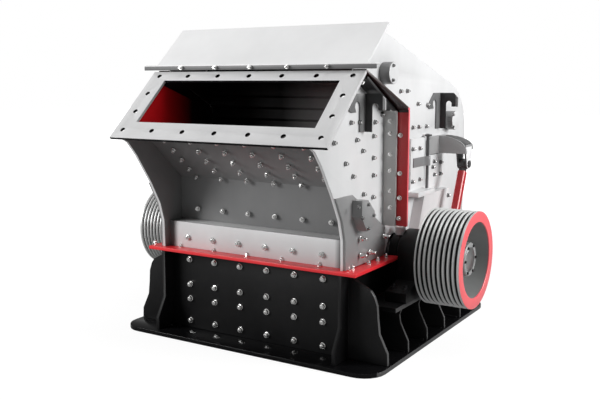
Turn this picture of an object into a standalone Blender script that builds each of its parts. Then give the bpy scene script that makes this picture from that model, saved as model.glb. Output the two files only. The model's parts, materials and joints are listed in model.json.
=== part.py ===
"""Impact crusher: a welded base, a front housing with the feed inlet, a grooved-pulley
rotor, and a rear housing that two side jacks tip open about its rear hinge.

Metres, +Z up. The feed inlet faces -Y. Distances along Y below are measured from the
front edge of the foot plate; the empty "machine" moves all of it to the middle.
"""
import bpy
import bmesh
from math import acos, asin, atan2, cos, hypot, pi, radians, sin
from mathutils import Matrix, Vector

# Clearances
GAP = 0.0003
WELD = 0.004
RUN = 0.006
PIN_CLEAR = 0.0009
SIDES_LARGE = 32
SIDES_SMALL = 20

# Whole machine
ORIGIN_Y = 1.077
SIDE_X = 0.760
BACK_Y = 2.290
HOUSING_WALL = 0.020
BASE_WALL = 0.028

# Foot plate and discharge opening
FOOT_HALF_X = 1.067
FOOT_TAIL = 0.090
FOOT_THICK = 0.030
FOOT_CORNER = 0.160
DISCHARGE_EDGE = 0.040

# Base
FRONT_WALL_Y = 0.222
TAIL_OVERHANG = 0.290
BASE_TOP = 0.614
NOSE_TOP_Y = 0.130
NOSE_FOOT_Y = 0.050
NOSE_HIGH = 0.260
NOSE_LOW = 0.120
TAIL_FOOT = 0.060
TAIL_LOW = 0.330
TAIL_DROP = 0.054
FLANGE_THICK = 0.024
FLANGE_OVERHANG = 0.110
FLANGE_FRONT_Y = 0.111
FLANGE_INSIDE = 0.008
FLANGE_SHAFT_GAP = 0.020
RIB_THICK = 0.020
RIB_FIRST_Y = 0.555
RIB_LAST_GAP = 0.149
RIB_COUNT = 5
RIB_WELD_DROP = 0.020
WING_TOP_X = 0.885
RIB_WAIST_X = 0.975
RIB_FOOT_X = 1.050
RIB_KNEE_X = 0.987
RIB_SHOULDER_X = 0.947
RIB_CROWN_X = 0.921
# Share of the base's height at each bend of a rib's outer edge, from its foot up
RIB_BENDS = (0.18, 0.375, 0.54, 0.68, 0.78, 0.835, 0.868)

# Rotor, shaft and bearings
SHAFT_Y = 0.9065
SHAFT_Z = 0.640
SHAFT_R = 0.085
ROTOR_TIP_R = 0.560
ROTOR_R = 0.470
ROTOR_STEP = 0.020
ROTOR_POCKET = 0.110
ROTOR_HEEL_OUT = 0.62
ROTOR_HEEL_ACROSS = 0.50
ROTOR_HALF_X = 0.690
BAR_WIDTH = 0.075
BAR_ROOT_R = 0.330
BAR_BEVEL = 0.012
SEAT_HALF_Y = 0.505
SEAT_OUT_X = 1.020
SEAT_TOP = 0.366
SEAT_THICK = 0.030
BEARING_IN_X = 0.874
BEARING_OUT_X = 1.030
BEARING_R = 0.172
BEARING_FOOT_HALF_Y = 0.370
BEARING_FOOT_TALL = 0.070
BEARING_NECK = 0.112
NOTCH_R = 0.130

# Belt pulleys
PULLEY_R = 0.337
PULLEY_IN_X = 1.066
PULLEY_OUT_X = 1.384
GROOVES = 9
GROOVE_DEPTH = 0.022
GROOVE_LAND = 0.010
GROOVE_FLOOR = 0.007
RIM_R = 0.262
WEB_X = 1.140
WEB_THICK = 0.040
PULLEY_HUB_R = 0.120
SHAFT_END_X = 1.338

# Feed inlet, tilted about X
INLET_Y = -0.144
INLET_Z = 1.5725
INLET_TILT = radians(43.0)
INLET_HIGH = 0.414
INLET_HALF_X = 0.720
INLET_LOWER_BORDER = 0.155
INLET_UPPER_BORDER = 0.092
INLET_SIDE_BORDER = 0.150
INLET_THICK = 0.020
INLET_HOLE_R = 0.018
INLET_ROW_HOLES = 7
INLET_SIDE_HOLES = 2

# Hopper floor and lower front panel
HOPPER_THICK = 0.016
HOPPER_BEND_Y = 0.342
HOPPER_BEND_Z = 1.147
PANEL_Y = 0.204
PANEL_TOP = 0.827
PANEL_THICK = 0.016
LINER_THICK = 0.012
LINER_EDGE = 0.030
LINER_BACK_Y = 0.560
LINER_FLOOR_GAP = 0.010
LINER_DROP = 0.060

# Front edge of the front side plates above its foot, up to the inlet: distance and height
FRONT_FOOT_Y = 0.148
FRONT_LINE = ((0.145, 0.838), (0.106, 0.971), (0.014, 1.135), (-0.127, 1.341), (-0.205, 1.432))

# Wear plate and guard block low on the front side plates
DOUBLER_THICK = 0.016
DOUBLER_TOP = 1.125
DOUBLER_BACK_TOP = 0.838
DOUBLER_SHAFT_R = 0.190
GUARD_OUT_X = 0.846
GUARD_FACE = ((0.240, 1.090), (0.240, 0.980), (0.312, 0.881), (0.444, 0.905), (0.420, 1.003), (0.326, 1.087))

# Split between the fixed front housing and the tipping rear housing
SPLIT_Y = 0.740
SPLIT_BEND_Z = 1.650
SPLIT_FLANGE_THICK = 0.020
FRONT_FLANGE_OUT_X = 0.856
REAR_FLANGE_OUT_X = 0.934
FLANGE_TOP_OUT_X = 0.856
SPLIT_FLANGE_BOTTOM = 0.855

# Rear housing
ROOF_FOOT_Y = 0.262
ROOF_FOOT_Z = 1.952
RIDGE_Y = 0.564
RIDGE_Z = 2.222
ROOF_HALF_X = 0.868
ROOF_THICK = 0.016
BACK_FALL = radians(15.8)
BACK_ROUND = 0.420
COVER_THICK = 0.014
TOP_BAR_HALF_X = 0.951
TOP_BAR_TALL = 0.036
TOP_BAR_DEEP = 0.046
TOP_BAR_THICK = 0.010
TOP_BAR_LIFT = 0.012

# Boxed stiffener, arm plate and door sill low on the rear side plates
SIDE_BOX_OUT_X = 0.840
SIDE_BOX_TOP = 1.008
SIDE_BOX_FOOT_Y = 1.118
SIDE_BOX_HEAD_Y = 1.263
SIDE_BOX_BACK_Y = 1.760
SILL_OUT_X = 0.852
SILL_TOP = 1.040
SILL_FRONT_Y = 1.120
ARM_PLATE_TOP = 1.284
ARM_PLATE_EDGE = ((1.420, 1.020), (1.454, 1.040), (1.484, 1.099), (1.470, 1.172))

# Rear hinge
HINGE_BEHIND = 0.080
HINGE_STRAP = 0.300
HINGE_LUG_DEEP = 0.230
HINGE_Z = 0.620
HINGE_PIN_R = 0.018
HINGE_EYE_R = 0.042
HINGE_X = 0.520
HINGE_EYE_HALF = 0.030
HINGE_LUG_THICK = 0.020

# Aprons hung in the rear housing
APRON_SHAFT_R = 0.045
FRONT_APRON_Y = 0.700
FRONT_APRON_Z = 1.905
REAR_APRON_Y = 1.866
REAR_APRON_Z = 1.540
CAP_R = 0.075
CAP_LONG = 0.080
CAP_BEVEL = 0.004
APRON_HALF_X = 0.700
APRON_EYE_R = 0.075
APRON_THICK = 0.090
FRONT_APRON_LONG = 0.600
FRONT_APRON_LEAN = radians(9.0)
REAR_APRON_LONG = 0.760
REAR_APRON_LEAN = radians(-24.0)
APRON_TOOTH = 0.030
APRON_TEETH = 6

# Jacks at both sides
JACK_X = 0.970
JACK_TOP_Y = 1.720
JACK_TOP_Z = 1.210
JACK_FOOT_INSET = 0.0315
JACK_FOOT_Z = 0.450
JACK_TUBE_HALF = 0.030
JACK_TUBE_CHAMFER = 0.007
JACK_ROD_R = 0.020
JACK_PIN_R = 0.020
JACK_HEAD_R = 0.028
JACK_EYE_R = 0.040
JACK_FOOT_EYE_R = 0.062
JACK_FOOT_HOLE_R = 0.042
JACK_HALF_X = 0.026
JACK_LUG_THICK = 0.014
JACK_HEAD_THICK = 0.010
JACK_LUG_FRONT = 0.060
JACK_TONGUE = 0.018
JACK_PLAY = 0.020
ARM_THICK = 0.016
ARM_HIGH = 0.135
ARM_TOP_Z = 1.428
ARM_HALF_Y = 0.060
ARM_OVERHANG = 0.046
ARM_EDGE = 0.020
ARM_REAR_LIFT = 0.030
ARM_BASE_FRONT_Y = 1.453
ARM_BASE_THICK = 0.030
ARM_BASE_CHAMFER = 0.030

# Inspection doors
DOOR_HINGE_Y = 1.405
DOOR_LONG = 0.270
DOOR_LOW = 1.052
DOOR_HIGH = 1.432
DOOR_THICK = 0.014
DOOR_ROD_R = 0.012
DOOR_LAP = 0.030
DOOR_EAR_HALF = 0.024
KNUCKLE_R = 0.024
KNUCKLE_LOW = 1.216
KNUCKLE_TALL = 0.070
STRAP_LONG = 0.234
STRAP_THICK = 0.008

# Hooks
HOOK_THICK = 0.012
HOOK_OUT = 0.157
HOOK_OUT_STEM = 0.060
HOOK_OUT_ARM = 0.051
HOOK_OUT_DROP = 0.107
HOOK_OUT_NOTCH_DROP = 0.062
HOOK_OUT_CHAMFER = 0.036
HOOK_FLAT_STEM = 0.080
HOOK_FLAT_TOP = 0.127
HOOK_FLAT_DROP = 0.120
HOOK_NOTCH_R = 0.036
HOOK_NOTCH_DROP = 0.050
FRONT_HOOK = (0.410, 1.772, 0.234, 0.250)
REAR_HOOK = (1.690, 1.761, 0.250, 0.278)

COLORS = {
    "black_paint": ((0.012, 0.012, 0.013), 0.45, 0.0),
    "white_paint": ((0.80, 0.80, 0.80), 0.40, 0.0),
    "grey_paint": ((0.36, 0.36, 0.37), 0.45, 0.0),
    "light_grey_paint": ((0.62, 0.62, 0.62), 0.42, 0.0),
    "red_paint": ((0.62, 0.02, 0.04), 0.38, 0.0),
    "dark_steel": ((0.10, 0.10, 0.105), 0.5, 0.8),
    "machined_steel": ((0.55, 0.55, 0.56), 0.35, 1.0),
    "cast_grey": ((0.22, 0.23, 0.23), 0.55, 0.6),
}


# Scene set-up
for old in list(bpy.data.objects):
    bpy.data.objects.remove(old, do_unlink=True)
parts = bpy.data.collections.new("impact_crusher")
bpy.context.scene.collection.children.link(parts)


def paint(name):
    """Material of the given name, made once."""
    if name in bpy.data.materials:
        return bpy.data.materials[name]
    color, roughness, metallic = COLORS[name]
    material = bpy.data.materials.new(name)
    material.use_nodes = True
    shader = material.node_tree.nodes["Principled BSDF"]
    shader.inputs["Base Color"].default_value = (*color, 1.0)
    shader.inputs["Roughness"].default_value = roughness
    shader.inputs["Metallic"].default_value = metallic
    return material


def pivot(name, y, z, x=0.0, parent=None):
    """Empty on a joint's axis, or at the machine's origin."""
    empty = bpy.data.objects.new(name, None)
    parts.objects.link(empty)
    empty["place"] = (x, y, z)
    base = Vector(parent["place"]) if parent else Vector((0.0, ORIGIN_Y, 0.0))
    empty.location = Vector((x, y, z)) - base
    empty.parent = parent
    return empty


def circle(y, z, radius, sides=SIDES_SMALL):
    """Closed outline of a round hole or disc."""
    turn = 2 * pi / sides
    return [(y + radius * cos(i * turn), z + radius * sin(i * turn)) for i in range(sides)]


def arc(y, z, radius, start, end, steps):
    """Points along an arc, both ends included, angles in radians."""
    span = (end - start) / steps
    return [(y + radius * cos(start + i * span), z + radius * sin(start + i * span))
            for i in range(steps + 1)]


def box_outline(low_a, high_a, low_b, high_b):
    """Outline of a rectangle."""
    return [(low_a, low_b), (high_a, low_b), (high_a, high_b), (low_a, high_b)]


def solid(outline, thickness, place, holes=()):
    """Flat outline with holes, extruded, as a closed mesh in machine coordinates."""
    curve = bpy.data.curves.new("outline", "CURVE")
    curve.dimensions = "2D"
    curve.fill_mode = "BOTH"
    curve.extrude = thickness / 2
    for loop in (outline, *holes):
        spline = curve.splines.new("POLY")
        spline.points.add(len(loop) - 1)
        for point, (a, b) in zip(spline.points, loop):
            point.co = (a, b, 0.0, 1.0)
        spline.use_cyclic_u = True
    guide = bpy.data.objects.new("outline", curve)
    bpy.context.scene.collection.objects.link(guide)
    guide.matrix_world = place
    bpy.context.view_layer.update()
    view = guide.evaluated_get(bpy.context.evaluated_depsgraph_get())
    mesh = bpy.data.meshes.new_from_object(view)
    mesh.transform(guide.matrix_world)
    bpy.data.objects.remove(guide, do_unlink=True)
    form = bmesh.new()
    form.from_mesh(mesh)
    bmesh.ops.remove_doubles(form, verts=form.verts, dist=0.00001)
    bmesh.ops.recalc_face_normals(form, faces=form.faces)
    form.to_mesh(mesh)
    form.free()
    return mesh


def side_plate(outline, x_low, x_high, holes=()):
    """Plate in a YZ plane, between two X values."""
    place = Matrix.Translation(((x_low + x_high) / 2, 0, 0))
    turn = Matrix(((0, 0, 1, 0), (1, 0, 0, 0), (0, 1, 0, 0), (0, 0, 0, 1)))
    return solid(outline, x_high - x_low, place @ turn, holes)


def cross_plate(outline, y_low, y_high, holes=()):
    """Plate in an XZ plane, between two Y values."""
    place = Matrix.Translation((0, (y_low + y_high) / 2, 0)) @ Matrix.Rotation(pi / 2, 4, "X")
    return solid(outline, y_high - y_low, place, holes)


def level_plate(outline, z_low, z_high, holes=()):
    """Plate in an XY plane, between two Z values."""
    return solid(outline, z_high - z_low, Matrix.Translation((0, 0, (z_low + z_high) / 2)), holes)


def tilted_plate(outline, y, z, tilt, low, high, holes=()):
    """Plate tilted about X: its outline starts at (y, z) and runs up the slope."""
    place = Matrix.Translation((0, y, z)) @ Matrix.Rotation(tilt, 4, "X")
    return solid(outline, high - low, place @ Matrix.Translation((0, 0, (low + high) / 2)), holes)


def turned(profile, y, z, sides=SIDES_LARGE):
    """Closed (x, radius) profile turned about an axis along X."""
    mesh = bpy.data.meshes.new("profile")
    points = [(radius, 0.0, x) for x, radius in profile]
    edges = [(i, (i + 1) % len(points)) for i in range(len(points))]
    mesh.from_pydata(points, edges, [])
    guide = bpy.data.objects.new("profile", mesh)
    bpy.context.scene.collection.objects.link(guide)
    screw = guide.modifiers.new("turn", "SCREW")
    screw.axis = "Z"
    screw.steps = sides
    screw.render_steps = sides
    screw.use_merge_vertices = True
    screw.merge_threshold = 0.00001
    guide.matrix_world = Matrix.Translation((0, y, z)) @ Matrix.Rotation(pi / 2, 4, "Y")
    bpy.context.view_layer.update()
    view = guide.evaluated_get(bpy.context.evaluated_depsgraph_get())
    result = bpy.data.meshes.new_from_object(view)
    result.transform(guide.matrix_world)
    bpy.data.objects.remove(guide, do_unlink=True)
    form = bmesh.new()
    form.from_mesh(result)
    bmesh.ops.remove_doubles(form, verts=form.verts, dist=0.00001)
    bmesh.ops.recalc_face_normals(form, faces=form.faces)
    form.to_mesh(result)
    form.free()
    return result


def cylinder(x_low, x_high, y, z, radius, sides=SIDES_SMALL):
    """Round bar along X."""
    return side_plate(circle(y, z, radius, sides), x_low, x_high)


def mirrored(mesh):
    """Copy of a mesh on the other side of the machine."""
    twin = mesh.copy()
    twin.transform(Matrix.Scale(-1, 4, (1, 0, 0)))
    twin.flip_normals()
    return twin


def fused(*meshes):
    """Boolean union of closed meshes that overlap, as one closed mesh."""
    pieces = []
    for mesh in meshes:
        piece = bpy.data.objects.new("fuse", mesh)
        bpy.context.scene.collection.objects.link(piece)
        pieces.append(piece)
    whole = pieces[0]
    for other in pieces[1:]:
        union = whole.modifiers.new("union", "BOOLEAN")
        union.operation = "UNION"
        union.solver = "EXACT"
        union.object = other
    bpy.context.view_layer.update()
    view = whole.evaluated_get(bpy.context.evaluated_depsgraph_get())
    result = bpy.data.meshes.new_from_object(view)
    for piece in pieces:
        bpy.data.objects.remove(piece, do_unlink=True)
    return result


def trimmed(mesh, cutter):
    """Closed mesh less the part of it inside a closed cutter."""
    whole = bpy.data.objects.new("trim", mesh)
    knife = bpy.data.objects.new("cutter", cutter)
    for piece in (whole, knife):
        bpy.context.scene.collection.objects.link(piece)
    cut = whole.modifiers.new("cut", "BOOLEAN")
    cut.operation = "DIFFERENCE"
    cut.solver = "EXACT"
    cut.object = knife
    bpy.context.view_layer.update()
    view = whole.evaluated_get(bpy.context.evaluated_depsgraph_get())
    result = bpy.data.meshes.new_from_object(view)
    for piece in (whole, knife):
        bpy.data.objects.remove(piece, do_unlink=True)
    return result


def node(name, mesh, color, body):
    """One named object from a closed mesh in machine coordinates, on a body's empty."""
    result = mesh.copy()
    result.name = name
    place = Vector(body["place"])
    result.transform(Matrix.Translation(-place))
    result.materials.clear()
    result.materials.append(paint(color))
    piece = bpy.data.objects.new(name, result)
    parts.objects.link(piece)
    piece.parent = body
    return piece


def pair(name, mesh, color, body):
    """A right-hand piece and its mirror twin on one body."""
    node(name + "_right", mesh, color, body)
    node(name + "_left", mirrored(mesh), color, body)


# Derived places
INNER_BASE_X = SIDE_X - BASE_WALL
INNER_X = SIDE_X - HOUSING_WALL
BASE_FLOOR = FOOT_THICK + GAP
FLANGE_LOW = BASE_TOP + GAP
FLANGE_TOP = FLANGE_LOW + FLANGE_THICK
HOUSING_LOW = FLANGE_TOP + GAP
REAR_LOW = FLANGE_TOP + RUN
UP_SLOPE = Vector((cos(INLET_TILT), sin(INLET_TILT)))
OUT_OF_INLET = Vector((-sin(INLET_TILT), cos(INLET_TILT)))
INLET_EDGE = Vector((INLET_Y, INLET_Z))
INLET_OUT_X = INLET_HALF_X + INLET_SIDE_BORDER
REAR_WALL_Y = BACK_Y - TAIL_OVERHANG
FOOT_LENGTH = REAR_WALL_Y + FOOT_TAIL
RIB_STEP = (REAR_WALL_Y - RIB_LAST_GAP - RIB_FIRST_Y) / (RIB_COUNT - 1)
FLANGE_HALF_X = SIDE_X + FLANGE_OVERHANG
HINGE_Y = BACK_Y + HINGE_BEHIND
JACK_FOOT_Y = SHAFT_Y + SEAT_HALF_Y - JACK_FOOT_INSET
JACK_FOOT = Vector((JACK_FOOT_Y, JACK_FOOT_Z))
JACK_TOP = Vector((JACK_TOP_Y, JACK_TOP_Z))
JACK_PLUG_TOP = JACK_FOOT_EYE_R + 2 * JACK_PLAY
DOOR_FACE_X = SIDE_X + RUN + DOOR_THICK
DOOR_ROD_X = DOOR_FACE_X + DOOR_ROD_R + WELD
INLET_LOW_BACK = INLET_EDGE - UP_SLOPE * INLET_LOWER_BORDER - OUT_OF_INLET * (INLET_THICK + GAP)
INLET_TOP_BACK = (INLET_EDGE + UP_SLOPE * (INLET_HIGH + INLET_UPPER_BORDER)
                  - OUT_OF_INLET * (INLET_THICK + GAP))
SPLIT_RISE = (INLET_TOP_BACK.y + RUN - SPLIT_BEND_Z) / (SPLIT_Y - INLET_TOP_BACK.x)


def split_height(y):
    """Height of the sloped split line at a given Y."""
    return SPLIT_BEND_Z + (SPLIT_Y - y) * SPLIT_RISE


def shaft_notch(edge_z, above):
    """Arc round the shaft between two points of a level edge, front point first."""
    reach = asin((edge_z - SHAFT_Z) / NOTCH_R)
    if above:
        return arc(SHAFT_Y, SHAFT_Z, NOTCH_R, pi - reach, reach, 12)
    return arc(SHAFT_Y, SHAFT_Z, NOTCH_R, pi - reach, 2 * pi + reach, 12)


def round_corner(before, corner, after, radius, steps):
    """Points of an arc that rounds the corner between two straight runs."""
    here = Vector(corner)
    one = (Vector(before) - here).normalized()
    two = (Vector(after) - here).normalized()
    half = acos(one.dot(two)) / 2
    centre = here + (one + two).normalized() * radius / sin(half)
    reach = radius * cos(half) / sin(half)
    first = here + one * reach - centre
    last = here + two * reach - centre
    begin = atan2(first.y, first.x)
    sweep = (atan2(last.y, last.x) - begin + pi) % (2 * pi) - pi
    return arc(centre.x, centre.y, radius, begin, begin + sweep, steps)


def band(line, thickness):
    """Closed outline of a bent strip: a line and its copy, moved to the line's left."""
    points = [Vector(p) for p in line]
    moved = []
    for i, here in enumerate(points):
        runs = []
        if i > 0:
            runs.append((here - points[i - 1]).normalized())
        if i < len(points) - 1:
            runs.append((points[i + 1] - here).normalized())
        lefts = [Vector((-run.y, run.x)) for run in runs]
        middle = sum(lefts, Vector((0.0, 0.0))).normalized()
        moved.append(here + middle * thickness / middle.dot(lefts[0]))
    return [tuple(p) for p in points] + [tuple(p) for p in reversed(moved)]


def build_foot(body):
    """Foot plate with rounded corners and the discharge opening."""
    corner = FOOT_CORNER
    near_x = FOOT_HALF_X - corner
    far_y = FOOT_LENGTH - corner
    outline = []
    for x, y, start in ((near_x, corner, -90), (near_x, far_y, 0),
                        (-near_x, far_y, 90), (-near_x, corner, 180)):
        outline += arc(x, y, corner, radians(start), radians(start + 90), 6)
    inside_x = INNER_BASE_X - DISCHARGE_EDGE
    discharge = box_outline(-inside_x, inside_x, FRONT_WALL_Y + BASE_WALL + DISCHARGE_EDGE,
                            REAR_WALL_Y - BASE_WALL - DISCHARGE_EDGE)
    node("foot_plate", level_plate(outline, 0.0, FOOT_THICK, [discharge]), "black_paint", body)


def build_base_sides(body):
    """Side plates that carry a front wing, five flared ribs and the bearing seat."""
    tail_y = REAR_WALL_Y + TAIL_FOOT
    side = [(NOSE_FOOT_Y, BASE_FLOOR), (tail_y, BASE_FLOOR), (tail_y, TAIL_LOW),
            (BACK_Y, BASE_TOP - TAIL_DROP), (BACK_Y, BASE_TOP)]
    side += list(reversed(shaft_notch(BASE_TOP, False)))
    side += [(NOSE_TOP_Y, BASE_TOP), (NOSE_TOP_Y, NOSE_HIGH), (NOSE_FOOT_Y, NOSE_LOW)]
    welded = [side_plate(side, INNER_BASE_X, SIDE_X)]

    root = SIDE_X - WELD
    seat_low = SEAT_TOP - SEAT_THICK
    bend_x = (RIB_FOOT_X - WELD, RIB_KNEE_X, RIB_WAIST_X, RIB_WAIST_X - RUN,
              RIB_SHOULDER_X, RIB_CROWN_X, WING_TOP_X)
    edge = [(x, BASE_TOP * share) for x, share in zip(bend_x, RIB_BENDS)]
    foot = [(root, BASE_FLOOR), (RIB_FOOT_X, BASE_FLOOR)]
    tall = foot + edge + [(root, BASE_TOP - RIB_WELD_DROP)]
    short = foot + edge[:2] + [(RIB_WAIST_X + WELD, (edge[1][1] + seat_low) / 2),
                               (SEAT_OUT_X - RIB_WELD_DROP, seat_low + WELD), (root, seat_low + WELD)]
    welded.append(cross_plate(tall, FRONT_WALL_Y, FRONT_WALL_Y + BASE_WALL))
    for i in range(RIB_COUNT):
        y = RIB_FIRST_Y + i * RIB_STEP
        under_seat = abs(y - SHAFT_Y) < SEAT_HALF_Y
        welded.append(cross_plate(short if under_seat else tall, y - RIB_THICK / 2, y + RIB_THICK / 2))

    seat = box_outline(root, SEAT_OUT_X, SHAFT_Y - SEAT_HALF_Y, SHAFT_Y + SEAT_HALF_Y)
    welded.append(level_plate(seat, seat_low, SEAT_TOP))
    pair("base_side", fused(*welded), "black_paint", body)


def build_bearings(body):
    """Bearing housing on each seat: a long foot, a neck and a round top."""
    floor = SEAT_TOP + GAP
    front_y = SHAFT_Y - BEARING_FOOT_HALF_Y
    rear_y = SHAFT_Y + BEARING_FOOT_HALF_Y
    block = [(front_y, floor), (rear_y, floor), (rear_y, floor + BEARING_FOOT_TALL),
             (SHAFT_Y + BEARING_R, floor + BEARING_NECK)]
    block += arc(SHAFT_Y, SHAFT_Z, BEARING_R, 0.0, pi, 14)
    block += [(SHAFT_Y - BEARING_R, floor + BEARING_NECK), (front_y, floor + BEARING_FOOT_TALL)]
    bore = circle(SHAFT_Y, SHAFT_Z, SHAFT_R + PIN_CLEAR, SIDES_LARGE)
    housing = side_plate(block, BEARING_IN_X, BEARING_OUT_X, [bore])
    pair("bearing_housing", housing, "black_paint", body)


def build_base(body):
    """Whole base: foot plate, front wall, sides, bearing housings and the mid flange in two parts."""
    build_foot(body)
    wall_x = INNER_BASE_X - GAP
    front = box_outline(-wall_x, wall_x, BASE_FLOOR, BASE_TOP)
    node("front_wall", cross_plate(front, FRONT_WALL_Y, FRONT_WALL_Y + BASE_WALL), "black_paint", body)
    build_base_sides(body)
    build_bearings(body)

    inner = INNER_X - FLANGE_INSIDE
    front_end = SHAFT_Y - NOTCH_R - FLANGE_SHAFT_GAP
    rear_start = SHAFT_Y + NOTCH_R + FLANGE_SHAFT_GAP
    front_u = [(-FLANGE_HALF_X, FLANGE_FRONT_Y), (FLANGE_HALF_X, FLANGE_FRONT_Y), (FLANGE_HALF_X, front_end),
               (inner, front_end), (inner, FRONT_WALL_Y + BASE_WALL), (-inner, FRONT_WALL_Y + BASE_WALL),
               (-inner, front_end), (-FLANGE_HALF_X, front_end)]
    rear_in = REAR_WALL_Y - BASE_WALL
    rear_u = [(-FLANGE_HALF_X, rear_start), (-inner, rear_start), (-inner, rear_in), (inner, rear_in),
              (inner, rear_start), (FLANGE_HALF_X, rear_start), (FLANGE_HALF_X, BACK_Y),
              (-FLANGE_HALF_X, BACK_Y)]
    node("front_mid_flange", level_plate(front_u, FLANGE_LOW, FLANGE_TOP), "red_paint", body)
    node("rear_mid_flange", level_plate(rear_u, FLANGE_LOW, FLANGE_TOP), "red_paint", body)


def front_side():
    """Curved side plate with its wear plate and the guard block on it."""
    front_edge = SPLIT_Y - RUN
    side = [(front_edge, HOUSING_LOW), (front_edge, split_height(front_edge) - RUN), tuple(INLET_TOP_BACK),
            tuple(INLET_LOW_BACK), *reversed(FRONT_LINE), (FRONT_FOOT_Y, HOUSING_LOW)]
    plate = side_plate(side, INNER_X, SIDE_X)

    low = HOUSING_LOW + WELD
    back = front_edge - WELD
    start = acos((SHAFT_Y - back) / DOUBLER_SHAFT_R)
    end = asin((low - SHAFT_Z) / DOUBLER_SHAFT_R)
    lower, upper = Vector(FRONT_LINE[1]), Vector(FRONT_LINE[2])
    head = lower.lerp(upper, (DOUBLER_TOP - lower.y) / (upper.y - lower.y))
    line = [(FRONT_FOOT_Y, low), *FRONT_LINE[:2], (head.x, DOUBLER_TOP)]
    wear = [(y + WELD, z) for y, z in line]
    wear += [(GUARD_FACE[0][0], DOUBLER_TOP), (back, DOUBLER_BACK_TOP)]
    wear += arc(SHAFT_Y, SHAFT_Z, DOUBLER_SHAFT_R, pi - start, pi - end, 5)
    doubler = side_plate(wear, SIDE_X - WELD, SIDE_X + DOUBLER_THICK)
    guard = side_plate(list(GUARD_FACE), SIDE_X - WELD, GUARD_OUT_X)
    return fused(plate, doubler, guard)


def split_strip(top_y, bend, thickness, out_x):
    """Flange strip along the split: upright up to the bend, then sloped, and narrower if it is wide."""
    top = (top_y, bend[1] + (bend[0] - top_y) * SPLIT_RISE)
    long = hypot(bend[0] - top_y, top[1] - bend[1])
    strip = side_plate(band([top, bend, (bend[0], SPLIT_FLANGE_BOTTOM)], thickness), SIDE_X + GAP, out_x)
    if out_x <= FLANGE_TOP_OUT_X:
        return strip
    narrow = (out_x - FLANGE_TOP_OUT_X) * 2
    taper = [(out_x, 0.0), (out_x + narrow, 0.0), (out_x + narrow, -2 * long), (out_x - narrow, -2 * long)]
    deep = 4 * SPLIT_FLANGE_THICK
    cutter = tilted_plate(taper, *bend, atan2(-SPLIT_RISE, 1.0), -deep, deep)
    return trimmed(strip, cutter)


def build_front_housing(body):
    """Side plates, hopper floor, lower panel, inlet flange, liners and split flanges."""
    pair("front_side", front_side(), "white_paint", body)

    slope = Vector((HOPPER_BEND_Y, HOPPER_BEND_Z)) - INLET_EDGE
    along = slope.normalized()
    inward = Vector((-along.y, along.x))
    lean_gap = HOPPER_THICK * abs(inward.dot(OUT_OF_INLET))
    top = INLET_EDGE + along * ((INLET_THICK + GAP + lean_gap) / abs(along.dot(OUT_OF_INLET)))
    bend = Vector((HOPPER_BEND_Y, HOPPER_BEND_Z))
    back = HOPPER_BEND_Y + HOPPER_THICK
    floor = [tuple(top), tuple(bend), (HOPPER_BEND_Y, PANEL_TOP + GAP), (back, PANEL_TOP + GAP),
             (back, HOPPER_BEND_Z), tuple(bend + inward * HOPPER_THICK), tuple(top + inward * HOPPER_THICK)]
    wide = INNER_X - GAP
    node("hopper_plate", side_plate(floor, -wide, wide), "grey_paint", body)

    inside = PANEL_Y + PANEL_THICK
    shelf = PANEL_TOP - PANEL_THICK
    panel = [(PANEL_Y, HOUSING_LOW), (inside, HOUSING_LOW), (inside, shelf),
             (back, shelf), (back, PANEL_TOP), (PANEL_Y, PANEL_TOP)]
    node("lower_front_panel", side_plate(panel, -wide, wide), "light_grey_paint", body)
    node("inlet_flange", inlet_flange(), "light_grey_paint", body)

    behind = INLET_EDGE - OUT_OF_INLET * (INLET_THICK + GAP)
    liner_front = behind + UP_SLOPE * LINER_EDGE
    liner_high = behind + UP_SLOPE * (INLET_HIGH - LINER_EDGE)
    liner = [tuple(liner_front), (back + LINER_FLOOR_GAP, HOPPER_BEND_Z), (LINER_BACK_Y, HOPPER_BEND_Z),
             (LINER_BACK_Y, split_height(LINER_BACK_Y) - LINER_DROP), tuple(liner_high)]
    pair("inlet_liner", side_plate(liner, wide - LINER_THICK, wide), "red_paint", body)

    bend = (SPLIT_Y - RUN, split_height(SPLIT_Y - RUN) - RUN)
    top_y = INLET_TOP_BACK.x + 2 * SPLIT_FLANGE_THICK
    strip = split_strip(top_y, bend, -SPLIT_FLANGE_THICK, FRONT_FLANGE_OUT_X)
    pair("front_split_flange", strip, "grey_paint", body)


def inlet_flange():
    """Tilted frame round the mouth with one row of holes on each side."""
    outer = box_outline(-INLET_OUT_X, INLET_OUT_X, -INLET_LOWER_BORDER, INLET_HIGH + INLET_UPPER_BORDER)
    holes = [box_outline(-INLET_HALF_X, INLET_HALF_X, 0.0, INLET_HIGH)]
    hole_x = (INLET_HALF_X + INLET_OUT_X) / 2
    hole_low = -INLET_LOWER_BORDER / 2
    hole_high = INLET_HIGH + INLET_UPPER_BORDER / 2
    for i in range(INLET_ROW_HOLES):
        x = -hole_x + 2 * hole_x * i / (INLET_ROW_HOLES - 1)
        holes.append(circle(x, hole_low, INLET_HOLE_R, 12))
        holes.append(circle(x, hole_high, INLET_HOLE_R, 12))
    for i in range(INLET_SIDE_HOLES):
        along_slope = hole_low + (hole_high - hole_low) * (i + 1) / (INLET_SIDE_HOLES + 1)
        holes.append(circle(hole_x, along_slope, INLET_HOLE_R, 12))
        holes.append(circle(-hole_x, along_slope, INLET_HOLE_R, 12))
    return tilted_plate(outer, INLET_Y, INLET_Z, INLET_TILT, -INLET_THICK, 0.0, holes)


def back_line():
    """Outer line of the rear housing from its ridge down to its back foot."""
    corner = (BACK_Y, RIDGE_Z - (BACK_Y - RIDGE_Y) * sin(BACK_FALL) / cos(BACK_FALL))
    ridge = (RIDGE_Y, RIDGE_Z)
    foot = (BACK_Y, REAR_LOW)
    return [ridge] + round_corner(ridge, corner, foot, BACK_ROUND, 7) + [foot]


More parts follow.
